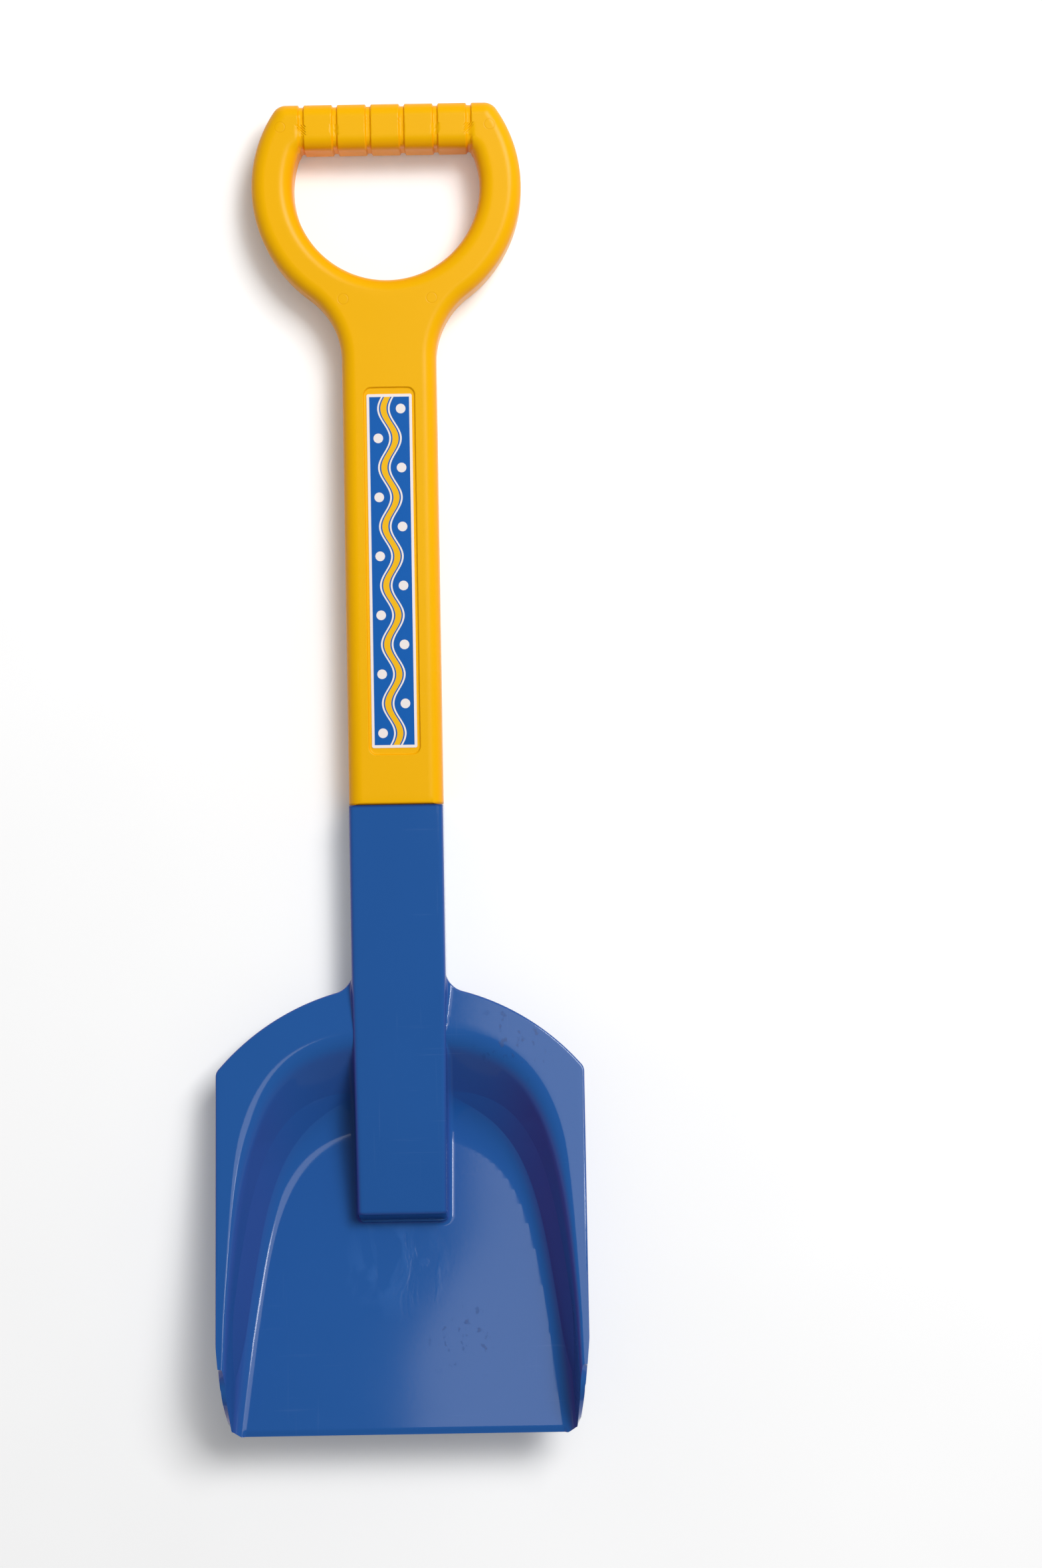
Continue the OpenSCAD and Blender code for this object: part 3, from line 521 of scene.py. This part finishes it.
def scoop_rows(edge, share, depth):
    """Profiles of the scoop's wall at every station, on its top (depth 0) or its underside: rounded edge,
    flange, parabolic rim, straight wall and parabolic foot on the floor."""
    def lifted(plan, height):
        return np.concatenate([plan, (height(plan[..., 1]) - depth)[..., None]], -1)

    rim, foot = cubic(RIM_CURVE, share), cubic(FLOOR_CURVE, share)
    way, out = unit(foot - rim), unit(edge - rim)
    run = np.linalg.norm(foot - rim, axis=1)
    if depth:
        foot_reach = SIDE_BLEND + (HEEL_BLEND - SIDE_BLEND) * (1 - share) ** 2
    else:
        foot_reach = np.minimum(FOOT_BLEND, FOOT_SHARE * run)
    foot_reach = foot_reach[:, None]
    corner = foot - way * foot_reach
    fall = flange_z(rim[:, 1]) - floor_z(corner[:, 1])
    lean = np.arctan2(fall, run - foot_reach[:, 0])
    back = (depth * np.tan(lean / 2))[:, None]
    down = unit(np.concatenate([corner - rim, -fall[:, None]], 1))
    rim_reach = RIM_BLEND - UNDER_TUCK * back if depth else np.minimum(RIM_ROUND, RIM_SHARE * run)[:, None]
    knee = lifted(rim - way * back, flange_z)
    knee_out = lifted(rim - way * back + out * rim_reach, flange_z)
    bend = lifted(corner - way * back, floor_z)
    rim_turn = quadratic(knee_out, knee, knee + down * rim_reach, 10)
    foot_turn = quadratic(bend - down * (foot_reach + back), bend, lifted(foot, floor_z), 14)

    radius, up = (UNDER_ROUND, -1) if depth else (EDGE_ROUND, 1)
    angle = np.linspace(0, 90, 5)[None, :, None]
    centre = lifted(edge - out * radius, flange_z)[:, None] - np.array([0, 0, up * radius])
    rise = up * sin(angle) + 0 * out[:, None, :1]
    rounding = centre + radius * np.concatenate([out[:, None] * cos(angle), rise], -1)
    flange = straight(rounding[:, -1:], rim_turn[:, :1], 6)
    wall = straight(rim_turn[:, -1:], foot_turn[:, :1], 11)
    return np.concatenate([rounding, flange, rim_turn, wall, foot_turn], axis=1)


def blade_scoop(material):
    """The scoop: top and under skins of both halves, their edge and front strips, and the flat floor."""
    edge, share = blade_stations()
    top, under = scoop_rows(edge, share, depth=0.0), scoop_rows(edge, share, depth=WALL)
    top[..., 2] += stem_fillet(top[..., 0], top[..., 1], top[..., 2])
    top[..., 2] -= front_bevel(top[..., 0], top[..., 1])
    top, under = clipped(top), clipped(under)
    edge_strip = np.stack([top[:, 0], under[:, 0]], 1)
    front_strip = np.stack([top[-1], under[-1]])
    skin = Skin()
    for side in (1, -1):
        for rows in (top, under, edge_strip, front_strip):
            skin.add(side * rows[..., 0], rows[..., 1], rows[..., 2])
    lines = np.concatenate([-FLOOR_LINES[:0:-1], FLOOR_LINES])
    foot = top[:, -1]
    x = np.clip(lines[None, :], -foot[:, :1], foot[:, :1])
    s = foot[:, 1:2] + 0 * x
    z = floor_z(s)
    z_top = z + stem_fillet(x, s, z) - front_bevel(x, s)
    skin.add(x, s, z_top)
    skin.add(x, s, z - WALL)
    skin.add(np.stack([x[-1], x[-1]]), FRONT, np.stack([z_top[-1], z[-1] - WALL]))
    skin.make("blade_scoop", "blade", material)


def stem_section(s, half, low, high, radius, slope):
    """Section of the stem in x and z, four quarter circles joined by flats, whose lower part leans
    towards the front by slope."""
    turn = np.linspace(0, 90, 9)[None, :] + 90 * np.arange(4)[:, None]
    centre_x = np.array([half - radius, radius - half, radius - half, half - radius])
    centre_z = np.array([high - radius, high - radius, low + radius, low + radius])
    x, z = centre_x[:, None] + radius * cos(turn), centre_z[:, None] + radius * sin(turn)
    next_x, next_z = np.roll(x, -1, axis=0)[:, :1], np.roll(z, -1, axis=0)[:, :1]
    x = np.concatenate([x, x[:, -1:] + (next_x - x[:, -1:]) * FLAT_SHARES], 1).reshape(-1)
    z = np.concatenate([z, z[:, -1:] + (next_z - z[:, -1:]) * FLAT_SHARES], 1).reshape(-1)
    return np.stack([x, s + (high - z) * slope, z], -1)


def blade_stem(material):
    """The stem: a loft through rounded sections with a leaning, rounded end, and the socket inside it."""
    base = STEM_END + (THICK - floor_z(STEM_END)) * END_SLOPE
    low = floor_z(base) - WALL / 2
    turn_s = HEEL - STEM_TURN
    tip = STEM_HALF - STEM_TAPER
    outer = [stem_section(SEAM, STEM_HALF - SEAM_BREAK, SEAM_BREAK, THICK - SEAM_BREAK, SEAM_BREAK_R, 0)]
    outer += [stem_section(s, stem_half_width(s), 0, THICK, STEM_EDGE, 0)
              for s in (SEAM + SEAM_BREAK_LEN, SEAM + SEAM_HOLD, FLANGE, turn_s)]
    for angle in np.linspace(0, 90, 9):
        inset = STEM_EDGE * (1 - cos(angle))
        outer.append(stem_section(STEM_END + STEM_EDGE * sin(angle), tip - inset, low, THICK - inset,
                                  STEM_EDGE, END_SLOPE))
    outer = np.stack(outer)
    tip_s, half, top = STEM_END - SOCKET_WALL, STEM_HALF - SOCKET_WALL, THICK - SOCKET_WALL
    inner = np.stack([stem_section(SEAM, half, SOCKET_WALL, top, SOCKET_EDGE, 0),
                      stem_section(FLANGE, half, SOCKET_WALL, top, SOCKET_EDGE, 0),
                      stem_section(turn_s, half - SOCKET_TAPER, SOCKET_WALL, top, SOCKET_EDGE, 0),
                      stem_section(tip_s, half - STEM_TAPER, floor_z(tip_s), top, SOCKET_EDGE, 0)])
    skin = Skin()
    for rows in (outer, inner, np.stack([outer[0], inner[0]])):
        skin.add(rows[..., 0], rows[..., 1], rows[..., 2], closed=True)
    for end in (outer[-1], inner[-1]):
        ring = end[None] * END_SHARES + end.mean(0) * (1 - END_SHARES)
        skin.add(ring[..., 0], ring[..., 1], ring[..., 2], closed=True)
    skin.make("blade_stem", "blade", material)


# Finishes

def linear(r, g, b):
    """Linear colour from 8-bit display values."""
    c = np.array([r, g, b]) / 255
    return (*np.where(c <= 0.04045, c / 12.92, ((c + 0.055) / 1.055) ** 2.4), 1.0)


WHITE = (1, 1, 1, 1)
SCRATCHES = ((28, (900, 24, 30)), (-57, (24, 760, 30)))  # turn and scale of each set of scratches
SCRATCH_PEAK, PATCH_PEAK = (0.66, 0.74), (0.52, 0.68)  # noise between which a mask grows from 0 to 1
GRAIN_SHARE = 0.25  # height of the grain against that of the marks
RUB_DULL = 0.2  # roughness that rubbed and scuffed places gain
SATIN, GLOSSY = 0.12, 0.38  # specular level of the yellow plastic and the print, and of the blue

# Painted shadow line at the seam, where the gap between handle and blade is shaded: its strength, and the
# distances from the seam between which it fades
SEAM_SHADE_STRENGTH, SEAM_FADE = 0.75, (0.3, 1.1)

# Yellow plastic, and the marks over the pegs: places across and along, radius and fade of their line
# The edge colour is a painted warm shade on steep edges.
YELLOW_BASE, YELLOW_EDGE_SHADE = linear(243, 180, 1), linear(252, 166, 6)
# The seam colour is the painted shadow line at the seam.
YELLOW_PEG, YELLOW_RUB, YELLOW_SEAM_SHADE = linear(214, 140, 0), linear(250, 214, 120), linear(168, 98, 2)
YELLOW_GRAIN = 0.06
YELLOW_STEEP = (0.97, 0.3, 0.0, 0.8)  # upward share of the normal, and strength of the painted warm shade on the edges
PEG_TINT, YELLOW_RUB_TINT = 0.22, 0.25  # strength of the marks' colours
PEG_MARKS = ((45, 10.2), (19, 84.3))
PEG_MARK_R, PEG_MARK_FADE = 2.25, (0.05, 0.32)

# Blue plastic, its flow marks and its scuffs: places across and along, and radius
# The wall colour is a painted violet reflection on the shaded walls.
BLUE_BASE, BLUE_WALL_REFLECTION, BLUE_FLOW = linear(33, 87, 157), linear(84, 74, 158), linear(58, 108, 178)
# The seam colour is the painted shadow line at the seam.
BLUE_SCUFF, BLUE_RUB, BLUE_SEAM_SHADE = linear(24, 58, 116), linear(110, 146, 200), linear(18, 46, 100)
BLUE_GRAIN = 0.05
FLOW_TINT, SCUFF_TINT, BLUE_RUB_TINT = 0.3, 0.5, 0.3  # strength of the marks' colours
FLOW_SPOT = (-4, 500, 24)
FLOW_TURN, FLOW_SCALE, FLOW_PEAK = 18, (60, 30, 20), (0.46, 0.62)
SCUFF_SPOTS = ((26, 530, 20), (50, 403, 20))
SCUFF_TURN, SCUFF_SCALE, SCUFF_PEAK = 24, (330, 210, 200), (0.62, 0.68)

# Painted violet reflection on the shaded walls: parts of the normal between which each mask grows, and its
# two strengths
WALL_ABOVE, WALL_STEEP, WALL_FRONT = (0.0, 0.4), (0.95, 0.5), (-0.85, -0.7)
WALL_SIDE = (-0.6, 0.5, 0.85, 0.25)

# Lean of the floor: its slope, the stations between which it grows and how far it reaches to the sides
LEAN, LEAN_FROM, LEAN_TO, LEAN_REACH = 0.0173, 478, 545, 62

# Print of the label: sizes of the pattern, with the distances between which each edge fades
PRINT_BLUE, PRINT_WHITE, PRINT_YELLOW = linear(10, 92, 174), linear(240, 231, 228), linear(244, 186, 20)
PRINT_GRAIN = 0.03
SWING_LEN, SWING = 25.3, 2.5  # length and reach of the ribbon's swing
RIBBON_FADE = (1.25, 1.37)
LINE_AT, LINE_FADE = 2.3, (0.32, 0.42)  # lines beside the ribbon
DOT_AT, DOT_FADE = 4.9, (2.0, 2.12)
DOT_SHIFTS = ((1, 0.75), (-1, 0.25))  # side of the dots and their share of a swing
SIDE_BORDER, END_BORDER = (8.5, 8.62), (74.6, 74.75)

# Floor and backdrop: glow near the object and far from it, the distances in metres between which it
# changes, and the heights of a view's direction between which the backdrop fades
FLOOR_LIFT, FADE_LIFT, FADE_FROM, FADE_TO = 0.15, 0.75, 0.8, 3.0
BACKDROP_LOW, BACKDROP_HIGH = 0.0, 0.12
MOTTLE = (0.3, 0.7, 0.90, 0.93)  # range of the noise, and of the card's brightness over it


class Graph:
    """Short way to place nodes in a tree and wire them."""

    def __init__(self, tree):
        self.tree = tree

    def node(self, kind, **settings):
        """Node of a kind, with its properties set from the keywords."""
        made = self.tree.nodes.new(kind)
        for key, value in settings.items():
            setattr(made, key, value)
        return made

    def feed(self, socket, value):
        """Puts a number, a colour or another node's output into an input."""
        if isinstance(value, bpy.types.NodeSocket):
            self.tree.links.new(value, socket)
        else:
            socket.default_value = value

    def math(self, operation, *values):
        """Math node of one or two values, each a number or a socket."""
        made = self.node("ShaderNodeMath", operation=operation)
        for socket, value in zip(made.inputs, values):
            self.feed(socket, value)
        return made.outputs[0]

    def times(self, first, *others):
        """Product of two or more values."""
        for other in others:
            first = self.math("MULTIPLY", first, other)
        return first

    def most(self, first, *others):
        """Largest of two or more values."""
        for other in others:
            first = self.math("MAXIMUM", first, other)
        return first

    def distance(self, dx, dy):
        """Root of the sum of two squares."""
        return self.math("SQRT", self.math("ADD", self.times(dx, dx), self.times(dy, dy)))

    def layers(self, colour, *covers):
        """A colour covered in turn by other colours, each through its mask. The indices are those of a
        Mix node's factor and colours."""
        for mask, cover in covers:
            made = self.node("ShaderNodeMix", data_type="RGBA")
            for index, value in ((0, mask), (6, colour), (7, cover)):
                self.feed(made.inputs[index], value)
            colour = made.outputs[2]
        return colour

    def noise(self, vector, scale, detail=3.0, rough=0.5, distortion=0.0):
        """Soft noise from 0 to 1."""
        made = self.node("ShaderNodeTexNoise")
        values = {"Vector": vector, "Scale": scale, "Detail": detail, "Roughness": rough,
                  "Distortion": distortion}
        for label, value in values.items():
            self.feed(made.inputs[label], value)
        return made.outputs["Fac"]

    def ramp(self, value, low, high, to_low=0.0, to_high=1.0, kind="LINEAR"):
        """Clamped map of a value from one range to another."""
        made = self.node("ShaderNodeMapRange", interpolation_type=kind)
        for socket, number in zip(made.inputs, (value, low, high, to_low, to_high)):
            self.feed(socket, number)
        return made.outputs[0]

    def within(self, distance, fade):
        """Mask of what is near: 1 up to the first of two distances, 0 from the second on."""
        return self.ramp(distance, fade[0] * MM, fade[1] * MM, 1.0, 0.0)

    def stretched(self, vector, turn, scale):
        """Coordinates turned about Z and stretched."""
        made = self.node("ShaderNodeMapping")
        values = {"Vector": vector, "Rotation": (0, 0, math.radians(turn)), "Scale": scale}
        for label, value in values.items():
            self.feed(made.inputs[label], value)
        return made.outputs["Vector"]

    def parts(self, vector):
        """X, Y and Z of a vector."""
        made = self.node("ShaderNodeSeparateXYZ")
        self.feed(made.inputs[0], vector)
        return made.outputs[0], made.outputs[1], made.outputs[2]

    def seen(self):
        """Mask of what the eye sees, straight, in a gloss or through a clear piece."""
        rays = self.node("ShaderNodeLightPath").outputs
        return self.most(rays["Is Camera Ray"], rays["Is Glossy Ray"], rays["Is Transmission Ray"])


def group(name, inputs, outputs):
    """Shader node group with named float, colour or vector sockets."""
    tree = bpy.data.node_groups.new(name, "ShaderNodeTree")
    kinds = {"f": "NodeSocketFloat", "c": "NodeSocketColor", "v": "NodeSocketVector"}
    for in_out, sockets in (("INPUT", inputs), ("OUTPUT", outputs)):
        for label, kind in sockets:
            tree.interface.new_socket(label, in_out=in_out, socket_type=kinds[kind])
    graph = Graph(tree)
    return tree, graph, graph.node("NodeGroupInput").outputs, graph.node("NodeGroupOutput").inputs


def moulded_grain():
    """Moulded plastic: cloudy colour, uneven gloss and a faint grain of the mould's surface."""
    tree, g, given, out = group(
        "moulded_grain",
        [("Place", "v"), ("Colour", "c"), ("Cloud", "f"), ("Gloss", "f"), ("Gloss Spread", "f")],
        [("Colour", "c"), ("Roughness", "f"), ("Height", "f")])
    place = given["Place"]
    cloud = g.noise(place, scale=14.0, detail=4.0, rough=0.55, distortion=0.6)
    tone = g.node("ShaderNodeVectorMath", operation="SCALE")
    g.feed(tone.inputs[0], given["Colour"])
    g.feed(tone.inputs["Scale"], g.math("ADD", 1.0, g.times(given["Cloud"], g.math("SUBTRACT", cloud, 0.5))))
    g.feed(out["Colour"], tone.outputs[0])
    patches = g.noise(place, scale=38.0, detail=5.0, rough=0.6)
    spread = g.times(given["Gloss Spread"], g.math("SUBTRACT", patches, 0.5))
    g.feed(out["Roughness"], g.math("ADD", given["Gloss"], spread))
    g.feed(out["Height"], g.noise(place, scale=700.0, detail=2.0))
    return tree


def rubbed_marks():
    """Handling marks: fine scratches where one of two stretched noises peaks inside sparse patches."""
    tree, g, given, out = group("rubbed_marks", [("Place", "v"), ("Amount", "f")], [("Mask", "f")])
    place = given["Place"]
    patches = g.ramp(g.noise(place, scale=22.0), *PATCH_PEAK)
    lines = [g.ramp(g.noise(g.stretched(place, turn, scale), scale=1.0, detail=2.0), *SCRATCH_PEAK)
             for turn, scale in SCRATCHES]
    g.feed(out["Mask"], g.times(g.most(*lines), patches, given["Amount"]))
    return tree


GRAIN, MARKS = moulded_grain(), rubbed_marks()


def material_start(name):
    """New node material: its graph, shader and coordinates."""
    made = bpy.data.materials.new(name)
    made.use_nodes = True
    graph = Graph(made.node_tree)
    made.node_tree.nodes.clear()
    shader = graph.node("ShaderNodeBsdfPrincipled")
    graph.feed(graph.node("ShaderNodeOutputMaterial").inputs[0], shader.outputs[0])
    return made, graph, shader, graph.node("ShaderNodeTexCoord").outputs


def placed(graph, tree, place, **values):
    """A node group in a material, fed with coordinates and its own values."""
    made = graph.node("ShaderNodeGroup", node_tree=tree)
    graph.feed(made.inputs["Place"], place)
    for label, value in values.items():
        graph.feed(made.inputs[label.replace("_", " ")], value)
    return made.outputs


def bump(graph, target, height, distance, strength):
    """Bump of a height, put into a target's Normal."""
    made = graph.node("ShaderNodeBump")
    for label, value in {"Strength": strength, "Distance": distance, "Height": height}.items():
        graph.feed(made.inputs[label], value)
    graph.feed(target.inputs["Normal"], made.outputs[0])
    return made


def station(s):
    """Y in metres of a station along the shovel."""
    return (OVERALL / 2 - s) * MM


def away_from(g, x, y, x_at, s_at):
    """Distance from a place across and along the shovel."""
    return g.distance(g.math("SUBTRACT", x, x_at * MM), g.math("SUBTRACT", y, station(s_at)))


def spot(g, x, y, x_at, s_at, radius):
    """Soft round mask about a place, which fades over the outer half of its radius."""
    return g.within(away_from(g, x, y, x_at, s_at), (radius * 0.5, radius))


def seam_shade_line(g, y):
    """Mask of the thin painted shadow line at the seam between the handle and the blade."""
    away = g.math("ABSOLUTE", g.math("SUBTRACT", y, station(SEAM)))
    return g.times(g.within(away, SEAM_FADE), SEAM_SHADE_STRENGTH)


def floor_lean(g, x, y):
    """Height of the floor's slight lean to one side, which grows towards the front: minus x, held within
    the floor's sides, times a smooth step of y."""
    slope = g.ramp(y, station(LEAN_FROM), station(LEAN_TO), 0.0, LEAN, kind="SMOOTHSTEP")
    held = g.math("MINIMUM", g.math("MAXIMUM", x, -LEAN_REACH * MM), LEAN_REACH * MM)
    return g.times(held, slope, -1.0)


def yellow_plastic():
    """Warm yellow plastic with a painted warm shade, more orange, on steep edges, and the faint round marks
    that the moulding leaves over the joining pegs."""
    made, g, shader, coords = material_start("yellow_plastic")
    place = coords["Object"]
    x, y, _ = g.parts(place)
    across = g.math("ABSOLUTE", x)
    rings = []
    for x_at, s_at in PEG_MARKS:
        off = g.math("SUBTRACT", away_from(g, across, y, x_at, s_at), PEG_MARK_R * MM)
        rings.append(g.within(g.math("ABSOLUTE", off), PEG_MARK_FADE))
    ring = g.most(*rings)
    # Painted warm shade: steep edges are coloured more orange by their normal.
    _, _, facing_z = g.parts(coords["Normal"])
    steep_painted_tint = g.ramp(g.math("ABSOLUTE", facing_z), *YELLOW_STEEP)
    grain = placed(g, GRAIN, place, Colour=YELLOW_BASE, Cloud=0.08, Gloss=0.30, Gloss_Spread=0.10)
    marks = placed(g, MARKS, place, Amount=0.25)["Mask"]
    colour = g.layers(grain["Colour"], (steep_painted_tint, YELLOW_EDGE_SHADE), (g.times(ring, PEG_TINT), YELLOW_PEG),
                      (g.times(marks, YELLOW_RUB_TINT), YELLOW_RUB), (seam_shade_line(g, y), YELLOW_SEAM_SHADE))
    # The last layer is a painted shadow line along the seam.
    g.feed(shader.inputs["Base Color"], colour)
    g.feed(shader.inputs["Roughness"], g.math("ADD", grain["Roughness"], g.times(marks, RUB_DULL)))
    shader.inputs["Specular IOR Level"].default_value = SATIN
    height = g.math("SUBTRACT", g.times(grain["Height"], GRAIN_SHARE), ring)
    bump(g, shader, height, distance=YELLOW_GRAIN * MM, strength=0.6)
    return made


def blue_plastic():
    """Deep blue plastic with a painted violet reflection on steep walls, flow marks below the stem and a few
    dark scuffs. The painted violet is weaker on walls that face +X, and absent below and on faces that look
    to the front."""
    made, g, shader, coords = material_start("blue_plastic")
    place = coords["Object"]
    x, y, _ = g.parts(place)
    # Painted violet reflection: steep walls inside the scoop are coloured violet by their normal.
    facing_x, facing_y, facing_z = g.parts(coords["Normal"])
    above = g.ramp(facing_z, *WALL_ABOVE)
    steep_painted_tint = g.times(g.ramp(g.math("ABSOLUTE", facing_z), *WALL_STEEP), g.ramp(facing_x, *WALL_SIDE),
                    above, g.ramp(facing_y, *WALL_FRONT))
    grain = placed(g, GRAIN, place, Colour=BLUE_BASE, Cloud=0.10, Gloss=0.08, Gloss_Spread=0.04)
    marks = placed(g, MARKS, place, Amount=0.25)["Mask"]
    streaks = g.noise(g.stretched(place, FLOW_TURN, FLOW_SCALE), scale=1.0, distortion=2.6)
    flow = g.times(g.ramp(streaks, *FLOW_PEAK), spot(g, x, y, *FLOW_SPOT), above)
    specks = g.noise(g.stretched(place, SCUFF_TURN, SCUFF_SCALE), scale=1.0, rough=0.6)
    spots = g.most(*[spot(g, x, y, *at) for at in SCUFF_SPOTS])
    scuff = g.times(g.ramp(specks, *SCUFF_PEAK), spots, above)
    colour = g.layers(grain["Colour"], (steep_painted_tint, BLUE_WALL_REFLECTION), (g.times(flow, FLOW_TINT), BLUE_FLOW),
                      (g.times(scuff, SCUFF_TINT), BLUE_SCUFF), (g.times(marks, BLUE_RUB_TINT), BLUE_RUB),
                      (seam_shade_line(g, y), BLUE_SEAM_SHADE))
    # The last layer is a painted shadow line along the seam.
    g.feed(shader.inputs["Base Color"], colour)
    dulled = g.times(g.math("ADD", marks, scuff), RUB_DULL)
    g.feed(shader.inputs["Roughness"], g.math("ADD", grain["Roughness"], dulled))
    shader.inputs["Specular IOR Level"].default_value = GLOSSY
    height = g.math("ADD", g.times(grain["Height"], GRAIN_SHARE), flow)
    fine = bump(g, shader, height, distance=BLUE_GRAIN * MM, strength=0.3)
    bump(g, fine, floor_lean(g, x, y), distance=1.0, strength=1.0)
    return made


def label_print():
    """Printed label: a yellow ribbon that swings between white lines and dots, on blue in a white border."""
    made, g, shader, coords = material_start("label_print")
    place = coords["Object"]
    x, y, _ = g.parts(place)
    along = g.math("SUBTRACT", y, station(RECESS_MID))
    length = SWING_LEN * MM
    wave = g.times(g.math("SINE", g.times(along, 2 * math.pi / length)), SWING * MM)
    swing = g.math("ABSOLUTE", g.math("SUBTRACT", x, wave))
    ribbon = g.within(swing, RIBBON_FADE)
    lines = g.within(g.math("ABSOLUTE", g.math("SUBTRACT", swing, LINE_AT * MM)), LINE_FADE)
    dots = []
    for side, shift in DOT_SHIFTS:
        turns = g.math("ADD", g.math("DIVIDE", along, length), 0.5 - shift)
        dy = g.times(g.math("SUBTRACT", g.math("FRACT", turns), 0.5), length)
        dx = g.math("SUBTRACT", x, side * DOT_AT * MM)
        dots.append(g.within(g.distance(dx, dy), DOT_FADE))
    border = g.most(*[g.ramp(g.math("ABSOLUTE", value), fade[0] * MM, fade[1] * MM)
                      for value, fade in ((x, SIDE_BORDER), (along, END_BORDER))])
    grain = placed(g, GRAIN, place, Colour=PRINT_BLUE, Cloud=0.08, Gloss=0.36, Gloss_Spread=0.1)
    colour = g.layers(grain["Colour"], (g.most(lines, *dots), PRINT_WHITE), (ribbon, PRINT_YELLOW),
                      (border, PRINT_WHITE))
    g.feed(shader.inputs["Base Color"], colour)
    g.feed(shader.inputs["Roughness"], grain["Roughness"])
    shader.inputs["Specular IOR Level"].default_value = SATIN
    bump(g, shader, grain["Height"], distance=PRINT_GRAIN * MM, strength=0.3)
    return made


def pale_floor():
    """Floor of pale matt card with a hardly seen mottle, lifted towards white far from the object."""
    made, g, shader, coords = material_start("pale_floor")
    place = coords["Object"]
    tone = g.ramp(g.noise(place, scale=6.0), *MOTTLE)
    colour = g.node("ShaderNodeCombineColor")
    for socket in colour.inputs:
        g.feed(socket, tone)
    g.feed(shader.inputs["Base Color"], colour.outputs[0])
    shader.inputs["Roughness"].default_value = 0.8
    shader.inputs["Emission Color"].default_value = WHITE
    away = g.node("ShaderNodeVectorMath", operation="LENGTH")
    g.feed(away.inputs[0], place)
    fade = g.ramp(away.outputs["Value"], FADE_FROM, FADE_TO, FLOOR_LIFT, FADE_LIFT)
    g.feed(shader.inputs["Emission Strength"], g.times(g.seen(), fade))
    return made


YELLOW, BLUE = yellow_plastic(), blue_plastic()
handle_half("handle_front_shell", "handle_front", YELLOW, recessed=True, place=lambda z: z)
handle_half("handle_back_shell", "handle_back", YELLOW, recessed=False, place=lambda z: THICK - z)
blade_scoop(BLUE)
blade_stem(BLUE)

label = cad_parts["label"]
label.data.materials.clear()
label.data.materials.append(label_print())

# Floor, light and camera, in metres and watts

FLOOR_REACH, FLOOR_Z = 3.0, -0.0004
KEY_PLACE, KEY_SIDE, KEY_POWER = (1.10, 1.20, 2.5), 1.2, 64
PANEL_X, PANEL_Y, PANEL_Z = 0.375, 0.44, 1.5
PANEL_WIDTH, PANEL_LENGTH, PANEL_POWER = 0.74, 0.92, 4.9
LIGHT_OVERHEAD, LIGHT_HORIZON, LIGHT_BACKDROP = 0.16, 0.28, 1.0
CAMERA_PLACE, CAMERA_ROLL = (0.0539, -0.0085, 1.5), -0.936
VIEW_ANGLE, SENSOR = 25.66, 24.0  # angle of view from top to bottom, and the sensor's height


def floor_sheet():
    """Flat square just below the object."""
    mesh = bpy.data.meshes.new("floor")
    corners = [(x * FLOOR_REACH, y * FLOOR_REACH, FLOOR_Z) for x, y in ((-1, -1), (1, -1), (1, 1), (-1, 1))]
    mesh.from_pydata(corners, [], [(0, 1, 2, 3)])
    mesh.materials.append(pale_floor())
    floor = bpy.data.objects.new("floor", mesh)
    bpy.context.scene.collection.objects.link(floor)


def soft_lamp(name, place, target, width, length, power):
    """Rectangular lamp at a place, turned to face a target."""
    lamp = bpy.data.lights.new(name, "AREA")
    lamp.shape = "RECTANGLE"
    lamp.size = width
    lamp.size_y = length
    lamp.energy = power
    shown = bpy.data.objects.new(name, lamp)
    shown.location = place
    way = np.array(target) - np.array(place)
    pitch = math.atan2(math.hypot(way[0], way[1]), -way[2])
    turn = math.atan2(way[1], way[0]) - math.pi / 2 if pitch else 0
    shown.rotation_euler = (pitch, 0, turn)
    bpy.context.scene.collection.objects.link(shown)


def room_light():
    """World whose light goes from its strength at the horizon to that overhead with the square of the
    height. The eye sees a white backdrop low down instead, which fades to the strength overhead."""
    world = bpy.data.worlds.new("room")
    world.use_nodes = True
    g = Graph(world.node_tree)
    _, _, height = g.parts(g.node("ShaderNodeTexCoord").outputs["Object"])
    light = g.ramp(g.times(height, height), 0.0, 1.0, LIGHT_HORIZON, LIGHT_OVERHEAD)
    shown = g.ramp(height, BACKDROP_LOW, BACKDROP_HIGH, LIGHT_BACKDROP, LIGHT_OVERHEAD)
    strength = g.math("ADD", light, g.times(g.seen(), g.math("SUBTRACT", shown, light)))
    background = world.node_tree.nodes["Background"]
    g.feed(background.inputs["Strength"], strength)
    background.inputs["Color"].default_value = WHITE
    bpy.context.scene.world = world


def photo_camera():
    """Camera that looks straight down, a little rolled."""
    lens = bpy.data.cameras.new("camera")
    lens.sensor_fit = "VERTICAL"
    lens.sensor_height = SENSOR
    lens.lens = SENSOR / 2 / math.tan(math.radians(VIEW_ANGLE / 2))
    camera = bpy.data.objects.new("camera", lens)
    camera.location = CAMERA_PLACE
    camera.rotation_euler = (0, 0, math.radians(CAMERA_ROLL))
    bpy.context.scene.collection.objects.link(camera)
    bpy.context.scene.camera = camera


floor_sheet()
soft_lamp("key", KEY_PLACE, (0, 0, 0), KEY_SIDE, KEY_SIDE, KEY_POWER)
soft_lamp("panel", (PANEL_X, PANEL_Y, PANEL_Z), (PANEL_X, PANEL_Y, 0), PANEL_WIDTH, PANEL_LENGTH, PANEL_POWER)
room_light()
photo_camera()
bpy.context.scene.view_settings.view_transform = "Standard"
